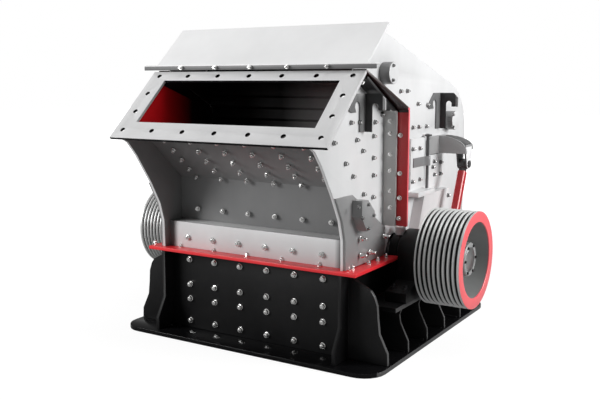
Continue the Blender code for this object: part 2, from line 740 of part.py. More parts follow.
def side_stiffening():
    """Boxed stiffener, arm plate and door sill on the outside of a rear side plate."""
    root = SIDE_X - WELD
    low = REAR_LOW + WELD
    box = [(SIDE_BOX_FOOT_Y, low), (SIDE_BOX_BACK_Y, low), (SIDE_BOX_BACK_Y, SIDE_BOX_TOP),
           (SIDE_BOX_HEAD_Y, SIDE_BOX_TOP)]
    plate = [(ARM_PLATE_EDGE[0][0], SIDE_BOX_TOP - WELD), *ARM_PLATE_EDGE,
             (ARM_PLATE_EDGE[-1][0], ARM_PLATE_TOP), (SIDE_BOX_BACK_Y - WELD, ARM_PLATE_TOP),
             (SIDE_BOX_BACK_Y - WELD, SIDE_BOX_TOP - WELD)]
    sill = box_outline(SILL_FRONT_Y, DOOR_HINGE_Y + DOOR_EAR_HALF, SIDE_BOX_TOP - WELD, SILL_TOP)
    return [side_plate(box, root, SIDE_BOX_OUT_X), side_plate(plate, root, SIDE_X + DOUBLER_THICK),
            side_plate(sill, root, SILL_OUT_X)]


def build_rear_housing(body):
    """Side plates, roof, bent back cover, split flanges and top bar."""
    split_foot = (ROOF_FOOT_Y, split_height(ROOF_FOOT_Y) + RUN)
    split_bend = (SPLIT_Y, split_height(SPLIT_Y) + RUN)
    side = [(SPLIT_Y, REAR_LOW)] + shaft_notch(REAR_LOW, True) + list(reversed(back_line()))
    side += [(ROOF_FOOT_Y, ROOF_FOOT_Z), split_foot, split_bend]
    door = box_outline(DOOR_HINGE_Y - DOOR_LONG + DOOR_LAP, DOOR_HINGE_Y - 2 * DOOR_LAP,
                       DOOR_LOW + DOOR_LAP, DOOR_HIGH - DOOR_LAP)
    shafts = [circle(FRONT_APRON_Y, FRONT_APRON_Z, APRON_SHAFT_R + GAP),
              circle(REAR_APRON_Y, REAR_APRON_Z, APRON_SHAFT_R + GAP)]
    plate = side_plate(side, INNER_X, SIDE_X, [door, *shafts])
    pair("rear_side", fused(plate, *side_stiffening(), *door_rod()), "white_paint", body)

    wide = INNER_X - GAP
    cover = side_plate(band(back_line(), -COVER_THICK), -wide, wide)
    node("back_cover", fused(cover, *hinge_eyes()), "white_paint", body)

    tilt = atan2(RIDGE_Z - ROOF_FOOT_Z, RIDGE_Y - ROOF_FOOT_Y)
    long = hypot(RIDGE_Z - ROOF_FOOT_Z, RIDGE_Y - ROOF_FOOT_Y)
    roof = box_outline(-ROOF_HALF_X, ROOF_HALF_X, 0.0, long)
    sheet = tilted_plate(roof, ROOF_FOOT_Y, ROOF_FOOT_Z, tilt, GAP, GAP + ROOF_THICK)
    node("roof_plate", sheet, "white_paint", body)

    back = ROOF_FOOT_Y - GAP - (ROOF_THICK + GAP) * sin(tilt)
    front = back - TOP_BAR_DEEP
    top = ROOF_FOOT_Z + TOP_BAR_LIFT
    behind = front + TOP_BAR_THICK
    angle = [(back, top), (front, top), (front, top - TOP_BAR_TALL), (behind, top - TOP_BAR_TALL),
             (behind, top - TOP_BAR_THICK), (back, top - TOP_BAR_THICK)]
    node("top_bar", side_plate(angle, -TOP_BAR_HALF_X, TOP_BAR_HALF_X), "light_grey_paint", body)

    top_y = INLET_TOP_BACK.x + SPLIT_FLANGE_THICK / 2
    strip = split_strip(top_y, split_bend, SPLIT_FLANGE_THICK, REAR_FLANGE_OUT_X)
    pair("rear_split_flange", strip, "red_paint", body)


def hinge_eyes():
    """Straps with eyes at the foot of the back cover, one at each side."""
    strap = [(BACK_Y - WELD, HINGE_Z + HINGE_STRAP), (BACK_Y - WELD, HINGE_Z + HINGE_EYE_R)]
    strap += arc(HINGE_Y, HINGE_Z, HINGE_EYE_R, radians(180), radians(370), 10)
    running = circle(HINGE_Y, HINGE_Z, HINGE_PIN_R + PIN_CLEAR)
    eye = side_plate(strap, HINGE_X - HINGE_EYE_HALF, HINGE_X + HINGE_EYE_HALF, [running])
    return [eye, mirrored(eye)]


def build_rear_wall(body):
    """Rear wall of the base with the lugs and pins that the rear housing turns on."""
    wall_x = INNER_BASE_X - GAP
    wall = box_outline(-wall_x, wall_x, BASE_FLOOR, BASE_TOP)
    welded = [cross_plate(wall, REAR_WALL_Y - BASE_WALL, REAR_WALL_Y)]
    lug = [(REAR_WALL_Y - WELD, HINGE_Z - HINGE_LUG_DEEP), (REAR_WALL_Y - WELD, BASE_TOP - RUN),
           (BACK_Y + RUN, BASE_TOP - RUN)]
    lug += arc(HINGE_Y, HINGE_Z, HINGE_EYE_R, radians(190), radians(-80), 12)
    near = HINGE_EYE_HALF + PIN_CLEAR
    reach = near + HINGE_LUG_THICK + 2 * WELD
    for inner_x in (HINGE_X - near - HINGE_LUG_THICK, HINGE_X + near):
        plate = side_plate(lug, inner_x, inner_x + HINGE_LUG_THICK)
        welded += [plate, mirrored(plate)]
    pin = cylinder(HINGE_X - reach, HINGE_X + reach, HINGE_Y, HINGE_Z, HINGE_PIN_R)
    welded += [pin, mirrored(pin)]
    node("rear_wall", fused(*welded), "black_paint", body)


def apron_outline(y, z, long, lean):
    """Hanging apron seen from the side: a round eye, a flat back and a toothed face."""
    down = Vector((sin(lean), -cos(lean)))
    face = Vector((-cos(lean), -sin(lean)))
    here = Vector((y, z))
    half = APRON_THICK / 2
    swing = acos(half / APRON_EYE_R)
    first = APRON_EYE_R + APRON_TOOTH / 3
    step = (long - first) / APRON_TEETH
    points = [here - face * half + down * long]
    points += [Vector(p) for p in arc(y, z, APRON_EYE_R, lean - swing, lean + pi + swing, 14)]
    for i in range(APRON_TEETH):
        points.append(here + face * half + down * (first + step * i))
        points.append(here + face * (half + APRON_TOOTH) + down * (first + step * (i + 1) - step / 4))
    points.append(here + face * half + down * long)
    return [tuple(p) for p in points]


def build_apron(name, y, z, long, lean, body, rear):
    """Apron on its shaft, with the shaft's round caps outside the housing."""
    hole = circle(y, z, APRON_SHAFT_R + PIN_CLEAR)
    outline = apron_outline(y, z, long, lean)
    node(name, side_plate(outline, -APRON_HALF_X, APRON_HALF_X, [hole]), "cast_grey", body)
    reach = SIDE_X + GAP
    shaft = cylinder(-reach - WELD, reach + WELD, y, z, APRON_SHAFT_R)
    end = reach + CAP_LONG
    profile = [(reach, 0.0), (reach, CAP_R), (end - CAP_BEVEL, CAP_R), (end, CAP_R - CAP_BEVEL), (end, 0.0)]
    cap = turned(profile, y, z, SIDES_SMALL)
    node(name + "_shaft", fused(shaft, cap, mirrored(cap)), "dark_steel", rear)


def build_rotor(body):
    """Shaft, disc rotor with four blow bars, and both belt pulleys."""
    shaft = cylinder(-SHAFT_END_X, SHAFT_END_X, SHAFT_Y, SHAFT_Z, SHAFT_R, SIDES_LARGE)
    node("rotor_shaft", shaft, "machined_steel", body)

    half = BAR_WIDTH / 2 + GAP
    centre = Vector((SHAFT_Y, SHAFT_Z))
    foot = BAR_ROOT_R + GAP
    outline = []
    bars = []
    for i in range(4):
        turn = pi / 4 + i * pi / 2
        out = Vector((cos(turn), sin(turn)))
        side = Vector((-out.y, out.x))

        def place(radial, across, out=out, side=side):
            """Point of the rotor at a distance out along the bar and across it."""
            return tuple(centre + out * radial + side * across)

        outline += [place(ROTOR_R - ROTOR_STEP, -half), place(BAR_ROOT_R, -half), place(BAR_ROOT_R, half),
                    place(ROTOR_R, half), place(ROTOR_R - ROTOR_STEP / 2, half + ROTOR_POCKET),
                    place(ROTOR_R * ROTOR_HEEL_OUT, ROTOR_R * ROTOR_HEEL_ACROSS)]
        bar = [place(foot, -BAR_WIDTH / 2), place(ROTOR_TIP_R, -BAR_WIDTH / 2),
               place(ROTOR_TIP_R - BAR_BEVEL, BAR_WIDTH / 2), place(foot, BAR_WIDTH / 2)]
        bars.append(side_plate(bar, -ROTOR_HALF_X, ROTOR_HALF_X))
    bore = circle(SHAFT_Y, SHAFT_Z, SHAFT_R + GAP, SIDES_LARGE)
    drum = side_plate(outline, -ROTOR_HALF_X, ROTOR_HALF_X, [bore])
    node("rotor_body", drum, "dark_steel", body)
    for i, bar in enumerate(bars):
        node(f"blow_bar_{i + 1}", bar, "cast_grey", body)

    web_out = WEB_X + WEB_THICK
    pitch = (PULLEY_OUT_X - PULLEY_IN_X) / GROOVES
    floor = PULLEY_R - GROOVE_DEPTH
    rim = []
    for i in range(GROOVES):
        start = PULLEY_IN_X + i * pitch
        middle = start + pitch / 2
        rim += [(start, PULLEY_R), (start + GROOVE_LAND / 2, PULLEY_R), (middle - GROOVE_FLOOR / 2, floor),
                (middle + GROOVE_FLOOR / 2, floor), (start + pitch - GROOVE_LAND / 2, PULLEY_R)]
    rim += [(PULLEY_OUT_X, PULLEY_R), (PULLEY_OUT_X, RIM_R), (web_out, RIM_R), (web_out, PULLEY_HUB_R),
            (SHAFT_END_X, PULLEY_HUB_R), (SHAFT_END_X, SHAFT_R + GAP), (PULLEY_IN_X, SHAFT_R + GAP),
            (PULLEY_IN_X, PULLEY_HUB_R), (WEB_X, PULLEY_HUB_R), (WEB_X, RIM_R), (PULLEY_IN_X, RIM_R)]
    wheel = turned(rim, SHAFT_Y, SHAFT_Z)
    pair("pulley", wheel, "cast_grey", body)


def along_jack(outline, x, start, end, holes=()):
    """Bar of any section on the jack's own axis, between two distances from its foot."""
    direction = (JACK_TOP - JACK_FOOT).normalized()
    middle = JACK_FOOT + direction * (start + end) / 2
    lean = atan2(direction.x, direction.y)
    place = Matrix.Translation((x, middle.x, middle.y)) @ Matrix.Rotation(-lean, 4, "X")
    return solid(outline, end - start, place, holes)


def jack_arm():
    """Base plate on the housing, two curved arm plates, and a hanger with the pin."""
    arm_low = ARM_TOP_Z - ARM_HIGH
    root = SIDE_X + GAP
    tip_x = JACK_X + ARM_OVERHANG
    front_y = JACK_TOP_Y - ARM_HALF_Y - ARM_THICK
    rear_y = JACK_TOP_Y + ARM_HALF_Y
    mount = [(ARM_BASE_FRONT_Y, arm_low), (rear_y + ARM_THICK, arm_low), (rear_y + ARM_THICK, ARM_TOP_Z),
             (ARM_BASE_FRONT_Y + ARM_BASE_CHAMFER, ARM_TOP_Z),
             (ARM_BASE_FRONT_Y, ARM_TOP_Z - ARM_BASE_CHAMFER)]
    welded = [side_plate(mount, root, root + ARM_BASE_THICK)]
    quarter = [i * pi / 2 / 7 for i in range(8)]
    for y, low in ((front_y, arm_low), (rear_y, arm_low + ARM_REAR_LIFT)):
        edge = low + ARM_EDGE
        inside = root + ARM_BASE_THICK - WELD
        wide = tip_x - inside
        tall = ARM_TOP_Z - edge
        arm = [(inside + wide * sin(turn), edge + tall * cos(turn)) for turn in quarter]
        welded.append(cross_plate(arm + [(tip_x, low), (inside, low)], y, y + ARM_THICK))
    near = JACK_HALF_X + PIN_CLEAR
    outer = near + JACK_LUG_THICK
    front = front_y + ARM_THICK - WELD
    rear = rear_y + WELD
    head = arm_low + ARM_HIGH / 2
    hanger = [(front, head), (front, arm_low + WELD)]
    hanger += arc(JACK_TOP_Y, JACK_TOP_Z, JACK_EYE_R, pi, 2 * pi, 8)
    hanger += [(rear, arm_low + WELD), (rear, head)]
    for x in (JACK_X - outer, JACK_X + near):
        welded.append(side_plate(hanger, x, x + JACK_LUG_THICK))
    welded.append(cylinder(JACK_X - outer - WELD, JACK_X + outer + WELD, JACK_TOP_Y, JACK_TOP_Z, JACK_PIN_R))
    welded.append(cylinder(JACK_X + outer + GAP, JACK_X + outer + JACK_HEAD_THICK, JACK_TOP_Y, JACK_TOP_Z,
                           JACK_HEAD_R))
    return fused(*welded)


def jack_rod():
    """Round rod with a flat tongue and an eye at its top."""
    long = (JACK_TOP - JACK_FOOT).length
    eye = side_plate(circle(JACK_TOP_Y, JACK_TOP_Z, JACK_EYE_R), JACK_X - JACK_HALF_X, JACK_X + JACK_HALF_X,
                     [circle(JACK_TOP_Y, JACK_TOP_Z, JACK_PIN_R + PIN_CLEAR)])
    down = (JACK_FOOT - JACK_TOP).normalized()
    across = Vector((-down.y, down.x)) * (JACK_ROD_R - WELD)
    near = JACK_TOP + down * (JACK_PIN_R + RUN)
    far = JACK_TOP + down * (JACK_EYE_R + JACK_TONGUE)
    tongue = [tuple(near - across), tuple(far - across), tuple(far + across), tuple(near + across)]
    plate = side_plate(tongue, JACK_X - JACK_HALF_X + GAP, JACK_X + JACK_HALF_X - GAP)
    bar = along_jack(circle(0, 0, JACK_ROD_R), JACK_X, JACK_PLUG_TOP + JACK_PLAY, long - JACK_EYE_R - WELD)
    return fused(eye, plate, bar)


def jack_tube():
    """Square sleeve round the rod, closed at its foot, with an eye that is loose on its pin."""
    long = (JACK_TOP - JACK_FOOT).length
    half = JACK_TUBE_HALF
    short = half - JACK_TUBE_CHAMFER
    outer = [(half, -short), (half, short), (short, half), (-short, half),
             (-half, short), (-half, -short), (-short, -half), (short, -half)]
    inner = circle(0, 0, JACK_ROD_R + PIN_CLEAR)
    start = JACK_FOOT_HOLE_R + 2 * WELD
    sleeve = along_jack(outer, JACK_X, start, long - JACK_EYE_R - JACK_TONGUE - RUN, [inner])
    plug = along_jack(circle(0, 0, JACK_ROD_R + WELD), JACK_X, start + WELD, JACK_PLUG_TOP)
    eye = side_plate(circle(JACK_FOOT_Y, JACK_FOOT_Z, JACK_FOOT_EYE_R), JACK_X - JACK_HALF_X,
                     JACK_X + JACK_HALF_X, [circle(JACK_FOOT_Y, JACK_FOOT_Z, JACK_FOOT_HOLE_R)])
    return fused(sleeve, plug, eye)


def jack_bracket():
    """Two lugs with a pin, standing on the rear end of the bearing seat."""
    seat = SEAT_TOP + GAP
    end = SHAFT_Y + SEAT_HALF_Y
    lug = [(JACK_FOOT_Y - JACK_LUG_FRONT, seat), (end, seat), (end, JACK_FOOT_Z)]
    lug += arc(JACK_FOOT_Y, JACK_FOOT_Z, end - JACK_FOOT_Y, radians(12), pi, 8)
    near = JACK_HALF_X + PIN_CLEAR
    outer = near + JACK_LUG_THICK
    reach = outer + 2 * WELD
    welded = [cylinder(JACK_X - reach, JACK_X + reach, JACK_FOOT_Y, JACK_FOOT_Z, JACK_PIN_R)]
    for x in (JACK_X - outer, JACK_X + near):
        welded.append(side_plate(lug, x, x + JACK_LUG_THICK))
    return fused(*welded)


def build_jacks(base, rear):
    """Arm, rod, tube and foot bracket at both sides."""
    pair("jack_arm", jack_arm(), "dark_steel", rear)
    pair("jack_bracket", jack_bracket(), "black_paint", base)
    for side, sign in (("right", 1), ("left", -1)):
        rod = pivot("jack_rod_axis_" + side, JACK_TOP_Y, JACK_TOP_Z, sign * JACK_X, rear)
        tube = pivot("jack_tube_axis_" + side, JACK_FOOT_Y, JACK_FOOT_Z, sign * JACK_X, rod)
        for name, mesh, color, body in (("jack_rod_", jack_rod(), "machined_steel", rod),
                                        ("jack_tube_", jack_tube(), "red_paint", tube)):
            node(name + side, mesh if sign > 0 else mirrored(mesh), color, body)


def door_rod():
    """Upright rod that the inspection door turns on, from the sill up to an ear."""
    top = DOOR_HIGH + DOOR_EAR_HALF
    rod = level_plate(circle(DOOR_ROD_X, DOOR_HINGE_Y, DOOR_ROD_R), SILL_TOP - WELD, top)
    ear = box_outline(SIDE_X - WELD, DOOR_ROD_X + DOOR_EAR_HALF, DOOR_HINGE_Y - DOOR_EAR_HALF,
                      DOOR_HINGE_Y + DOOR_EAR_HALF)
    return [rod, level_plate(ear, DOOR_HIGH + RUN, top - WELD)]


def door():
    """Inspection door: flat panel with a strap and one knuckle round the rod."""
    panel = side_plate(box_outline(DOOR_HINGE_Y - DOOR_LONG, DOOR_HINGE_Y - RUN, DOOR_LOW, DOOR_HIGH),
                       SIDE_X + RUN, DOOR_FACE_X)
    high = KNUCKLE_LOW + KNUCKLE_TALL
    strap = side_plate(box_outline(DOOR_HINGE_Y - STRAP_LONG, DOOR_HINGE_Y - KNUCKLE_R, KNUCKLE_LOW, high),
                       DOOR_FACE_X - WELD, DOOR_FACE_X + STRAP_THICK)
    tab = [(DOOR_FACE_X - WELD, DOOR_HINGE_Y - 2 * KNUCKLE_R)]
    tab += arc(DOOR_ROD_X, DOOR_HINGE_Y, KNUCKLE_R, radians(-60), radians(125), 8)
    tab += [(DOOR_FACE_X - WELD, DOOR_HINGE_Y - 2 * RUN)]
    hole = circle(DOOR_ROD_X, DOOR_HINGE_Y, DOOR_ROD_R + PIN_CLEAR)
    return fused(panel, strap, level_plate(tab, KNUCKLE_LOW, high, [hole]))


def build_doors(rear):
    """An inspection door at each side, on its own axis."""
    for side, sign in (("right", 1), ("left", -1)):
        body = pivot("door_axis_" + side, DOOR_HINGE_Y, 0.0, sign * DOOR_ROD_X, rear)
        mesh = door()
        node("door_" + side, mesh if sign > 0 else mirrored(mesh), "light_grey_paint", body)


def notch(reach, drop, radius):
    """Top of a hook's round notch, from its stem side over to its arm side."""
    return arc(reach, -drop - radius, radius, pi, 0.0, 6)


def outward_hook(high):
    """Blade that stands out of the side plate: stem, notch and drooping arm, as reach and drop."""
    half = (HOOK_OUT - HOOK_OUT_STEM - HOOK_OUT_ARM) / 2
    return [(0.0, 0.0), (0.0, -high), (HOOK_OUT_STEM, -high),
            *notch(HOOK_OUT_STEM + half, HOOK_OUT_NOTCH_DROP, half),
            (HOOK_OUT - HOOK_OUT_ARM, -HOOK_OUT_DROP), (HOOK_OUT, -HOOK_OUT_DROP),
            (HOOK_OUT, -HOOK_OUT_CHAMFER), (HOOK_OUT - HOOK_OUT_CHAMFER, 0.0)]


def flat_hook(long, high):
    """Blade flat on the side plate: stem, round notch and an arm with a sloped outer edge."""
    middle = HOOK_FLAT_STEM + HOOK_NOTCH_R
    inner = middle + HOOK_NOTCH_R / 2
    return [(0.0, 0.0), (0.0, -high), (HOOK_FLAT_STEM, -high), *notch(middle, HOOK_NOTCH_DROP, HOOK_NOTCH_R),
            (inner, -HOOK_FLAT_DROP), (long - HOOK_OUT_CHAMFER, -HOOK_FLAT_DROP),
            (long, HOOK_OUT_CHAMFER / 2 - HOOK_FLAT_DROP), (HOOK_FLAT_TOP, 0.0)]


def build_hooks(name, sizes, body):
    """Pair of angle-section hooks on both sides of a housing."""
    y, top, long, high = sizes
    root = SIDE_X + GAP
    outward = cross_plate([(root + a, top + b) for a, b in outward_hook(high)], y, y + HOOK_THICK)
    blade = [(y + HOOK_THICK - a, top + b) for a, b in flat_hook(long, high)]
    flat = side_plate(blade, root, root + HOOK_THICK)
    pair(name, fused(outward, flat), "dark_steel", body)


def build_machine():
    """All bodies, each on an empty at its joint."""
    base = pivot("machine", 0.0, 0.0)
    base.location = (0.0, -ORIGIN_Y, 0.0)
    build_base(base)
    build_front_housing(base)
    rotor = pivot("rotor_axis", SHAFT_Y, SHAFT_Z, parent=base)
    build_rotor(rotor)
    rear = pivot("rear_hinge_axis", HINGE_Y, HINGE_Z, parent=base)
    build_rear_housing(rear)
    build_rear_wall(base)
    front_apron = pivot("front_apron_axis", FRONT_APRON_Y, FRONT_APRON_Z, parent=rear)
    build_apron("front_apron", FRONT_APRON_Y, FRONT_APRON_Z, FRONT_APRON_LONG, FRONT_APRON_LEAN,
                front_apron, rear)
    rear_apron = pivot("rear_apron_axis", REAR_APRON_Y, REAR_APRON_Z, parent=rear)
    build_apron("rear_apron", REAR_APRON_Y, REAR_APRON_Z, REAR_APRON_LONG, REAR_APRON_LEAN,
                rear_apron, rear)
    build_jacks(base, rear)
    build_doors(rear)
    build_hooks("front_hook", FRONT_HOOK, base)
    build_hooks("rear_hook", REAR_HOOK, rear)


build_machine()
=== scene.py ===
"""Looks of the impact crusher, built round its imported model.

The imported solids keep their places. Plates are taken over by copies with softened edges and the belt
pulleys by smooth surfaces. Bolts, studs, weld beads, shaft covers and joint seals are added.
Metres, +Z up, the feed inlet faces -Y.
"""

import json
import logging
import math
from dataclasses import dataclass, replace
from enum import Enum
from functools import cached_property, partialmethod

import bmesh
import bpy
import numpy as np
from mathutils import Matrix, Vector
from mathutils.bvhtree import BVHTree

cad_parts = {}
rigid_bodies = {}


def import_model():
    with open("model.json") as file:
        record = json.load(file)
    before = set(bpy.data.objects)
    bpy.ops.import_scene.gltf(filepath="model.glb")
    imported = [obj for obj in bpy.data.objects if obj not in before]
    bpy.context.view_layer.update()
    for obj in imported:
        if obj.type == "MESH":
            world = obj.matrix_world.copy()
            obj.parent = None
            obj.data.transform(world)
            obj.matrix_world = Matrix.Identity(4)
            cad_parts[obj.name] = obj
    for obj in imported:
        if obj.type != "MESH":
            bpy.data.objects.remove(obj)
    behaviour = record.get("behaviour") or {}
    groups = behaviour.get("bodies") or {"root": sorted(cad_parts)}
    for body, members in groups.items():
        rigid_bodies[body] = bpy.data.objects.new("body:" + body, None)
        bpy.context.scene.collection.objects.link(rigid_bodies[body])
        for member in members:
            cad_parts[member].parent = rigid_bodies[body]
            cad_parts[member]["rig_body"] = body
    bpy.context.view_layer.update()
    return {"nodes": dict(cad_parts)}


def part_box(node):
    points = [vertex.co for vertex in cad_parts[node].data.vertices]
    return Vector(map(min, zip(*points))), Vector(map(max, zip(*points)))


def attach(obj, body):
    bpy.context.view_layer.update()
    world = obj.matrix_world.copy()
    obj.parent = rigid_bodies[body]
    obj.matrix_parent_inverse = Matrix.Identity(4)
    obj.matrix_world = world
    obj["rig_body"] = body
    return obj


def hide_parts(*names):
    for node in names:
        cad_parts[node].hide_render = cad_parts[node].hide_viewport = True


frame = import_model()

LOG = logging.getLogger("crusher")
Pair = tuple[float, float]
Triple = tuple[float, float, float]
Pixels = tuple[Pair, ...]
Inputs = dict[str | int, object]

SHAFT: Pair = (-0.1705, 0.640)  # place of the rotor's axis, y and z
NOISE_ROUGHNESS = 0.55  # weight of a noise's fine octaves
BOLT_TURN = 2.399  # angle by which each bolt is turned from the last
BEAD_ACROSS = (0.31, 0.47, 0.83)  # a direction that no bead runs along
BEAD_DIP = 0.86  # share of a bead's radius in the hollows of its ripples
SUNK = 0.0005  # depth by which a small bolt's seat goes into a turned face
SAME_WAY = 0.95  # least dot product of two directions that count as one
DOUBLE = 1e-6  # distance at which points of a new mesh are merged
SHARP = math.radians(35.0)  # angle from which an edge of a new mesh is shaded sharp


class Body(Enum):
    """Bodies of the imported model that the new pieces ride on."""

    FRAME = "frame"
    ROTOR = "rotor"
    REAR = "rear_housing"
    DOOR_RIGHT = "door_right"
    DOOR_LEFT = "door_left"


@dataclass(frozen=True)
class Layer:
    """One noise of a surface.

    Attributes:
        scale: Repeats in a metre.
        detail: Octaves.
        weight: Factor of its value, which is 0 to 1.
        stretch: Scale of each axis.
    """

    scale: float
    detail: float
    weight: float = 1.0
    stretch: Triple | None = None


class Grain(Enum):
    """How a finish breaks up its surface, as layers of noise."""

    PEEL = (Layer(420.0, 1.0, 0.6), Layer(90.0, 1.0, 0.4))
    CAST = (Layer(260.0, 4.0, 0.7), Layer(38.0, 2.0, 0.3))
    MILLED = (Layer(60.0, 2.0, stretch=(30.0, 1.0, 1.0)),)
    TURNED = (Layer(60.0, 2.0, stretch=(40.0, 0.4, 0.4)),)


CLOUDS = (Layer(3.1, 4.0, 0.6), Layer(7.0, 3.0, 0.4, (1.0, 1.0, 0.18)))  # slow change of the colour
GRIT = (Layer(24.0, 5.0, 0.5), Layer(3.1, 4.0, 0.5))  # where dust lies
SPREAD = Layer(16.0, 4.0, 0.16)  # change of the roughness
CLOUD_STOPS = ((0.32, 0.0), (0.68, 1.0))
GRIT_STOPS = ((0.45, 0.0), (0.75, 1.0))
DUST: Triple = (0.42, 0.40, 0.37)  # linear colour of dust
COAT_ROUGHNESS = 0.18


class Wire:
    """A shader value that takes part in Python arithmetic. A comparison gives one or zero.

    Args:
        nodes: The node builder that the value belongs to.
        socket: A node's output socket.
    """

    def __init__(self, nodes: "Nodes", socket: bpy.types.NodeSocket) -> None:
        self.nodes = nodes
        self.socket = socket

    def _math(self, operation: str, other: object) -> "Wire":
        """Adds one Math node for this value and another one."""
        made = self.nodes.add("ShaderNodeMath", {0: self, 1: other}, operation=operation)
        return Wire(self.nodes, made.outputs[0])

    __add__ = partialmethod(_math, "ADD")
    __sub__ = partialmethod(_math, "SUBTRACT")
    __mul__ = partialmethod(_math, "MULTIPLY")
    __gt__ = partialmethod(_math, "GREATER_THAN")
    __lt__ = partialmethod(_math, "LESS_THAN")
    at_least = partialmethod(_math, "MAXIMUM")
    size = partialmethod(_math, "ABSOLUTE", 0.0)


class Nodes:
    """Builds the nodes of a material or of the world.

    Args:
        owner: What has the nodes.
        shader: Name of its shader node.
    """

    def __init__(self, owner: bpy.types.Material | bpy.types.World, shader: str = "Principled BSDF") -> None:
        owner.use_nodes = True
        self.tree = owner.node_tree
        self.shader = self.tree.nodes[shader]

    @cached_property
    def place(self) -> bpy.types.NodeSocket:
        """Object coordinates."""
        return self.add("ShaderNodeTexCoord").outputs["Object"]

    def add(self, kind: str, values: Inputs | None = None, **settings: object) -> bpy.types.Node:
        """Adds a node.

        Args:
            kind: The node's type.
            values: Values, sockets or wires for its inputs, by name or number.
            settings: Its properties, set first.

        Returns:
            The new node.
        """
        made = self.tree.nodes.new(kind)
        for key, value in settings.items():
            setattr(made, key, value)
        for key, value in (values or {}).items():
            self.feed(made.inputs[key], value)
        return made

    def feed(self, target: bpy.types.NodeSocket, value: object) -> None:
        """Links a wire or socket to an input, or sets its value."""
        if isinstance(value, Wire):
            value = value.socket
        if isinstance(value, bpy.types.NodeSocket):
            self.tree.links.new(value, target)
        else:
            target.default_value = value

    def read(self, kind: str, output: str) -> Wire:
        """Output of a new node without inputs."""
        return Wire(self, self.add(kind).outputs[output])

    def noise(self, *layers: Layer) -> Wire:
        """Sum of the layers' noises, each times its weight."""
        total = None
        for layer in layers:
            place = self.place
            if layer.stretch:
                place = self.add("ShaderNodeMapping", {"Vector": place, "Scale": layer.stretch}).outputs[0]
            made = self.add("ShaderNodeTexNoise", {
                "Vector": place, "Scale": layer.scale, "Detail": layer.detail, "Roughness": NOISE_ROUGHNESS})
            one = Wire(self, made.outputs["Fac"]) * layer.weight
            total = total + one if total else one
        return total

    def ramp(self, value: Wire, stops: tuple[Pair, Pair]) -> Wire:
        """Straight change between two (position, level) stops, and level beyond them."""
        made = self.add("ShaderNodeValToRGB", {"Fac": value})
        for element, (position, level) in zip(made.color_ramp.elements, stops):
            element.position = position
            element.color = (level, level, level, 1.0)
        return Wire(self, made.outputs["Color"])

    def coordinates(self) -> list[Wire]:
        """x, y and z."""
        return [Wire(self, socket) for socket in self.add("ShaderNodeSeparateXYZ", {0: self.place}).outputs]

    def mix(self, factor: Wire, low: object, high: object) -> bpy.types.NodeSocket:
        """Colour between low and high."""
        return self.add("ShaderNodeMix", {0: factor, 6: low, 7: high}, data_type="RGBA").outputs[2]

    def bump(self, height: Wire, distance: float) -> None:
        """Feeds a bump of that many metres to the shader's normal."""
        made = self.add("ShaderNodeBump", {"Height": height, "Distance": distance, "Strength": 1.0})
        self.feed(self.shader.inputs["Normal"], made.outputs["Normal"])


def shade(color: Triple, level: float) -> tuple[float, float, float, float]:
    """Colour scaled in brightness, with alpha."""
    return (color[0] * level, color[1] * level, color[2] * level, 1.0)


@dataclass(frozen=True)
class Zone:
    """A box, the same on both sides of the machine, in which a finish has another colour.

    Attributes:
        color: Linear base colour in the box.
        x: Least and most distance from the middle plane, or None for any.
        y: Least and most y, or None for any.
        z: Least and most z, or None for any.
    """

    color: Triple
    x: Pair | None = None
    y: Pair | None = None
    z: Pair | None = None

    def mask(self, nodes: Nodes) -> Wire:
        """One inside the box, else zero."""
        x, y, z = nodes.coordinates()
        inside = None
        for value, limits in ((x.size(), self.x), (y, self.y), (z, self.z)):
            if limits:
                share = (value > limits[0]) * (value < limits[1])
                inside = inside * share if inside else share
        return inside


@dataclass(frozen=True)
class Core:
    """A round space about an axis along X, in which a finish has another colour.

    Attributes:
        axis: y and z of the axis.
        radius: Radius of the space.
        color: Linear base colour in it.
    """

    axis: Pair
    radius: float
    color: Triple

    def mask(self, nodes: Nodes) -> Wire:
        """One where (y - y0)^2 + (z - z0)^2 is under the radius squared, else zero."""
        _, y, z = nodes.coordinates()
        across, up = y - self.axis[0], z - self.axis[1]
        return (across * across + up * up) < self.radius**2


@dataclass(frozen=True)
class Fade:
    """A stretch of one axis along which a finish turns evenly to another colour.

    Attributes:
        axis: 0 for x, 1 for y, 2 for z.
        start: Where the change begins.
        end: Where the other colour is full.
        color: Linear base colour there.
    """

    axis: int
    start: float
    end: float
    color: Triple

    def mask(self, nodes: Nodes) -> Wire:
        """(value - start) / (end - start), which the mix keeps between 0 and 1."""
        return (nodes.coordinates()[self.axis] - self.start) * (1.0 / (self.end - self.start))


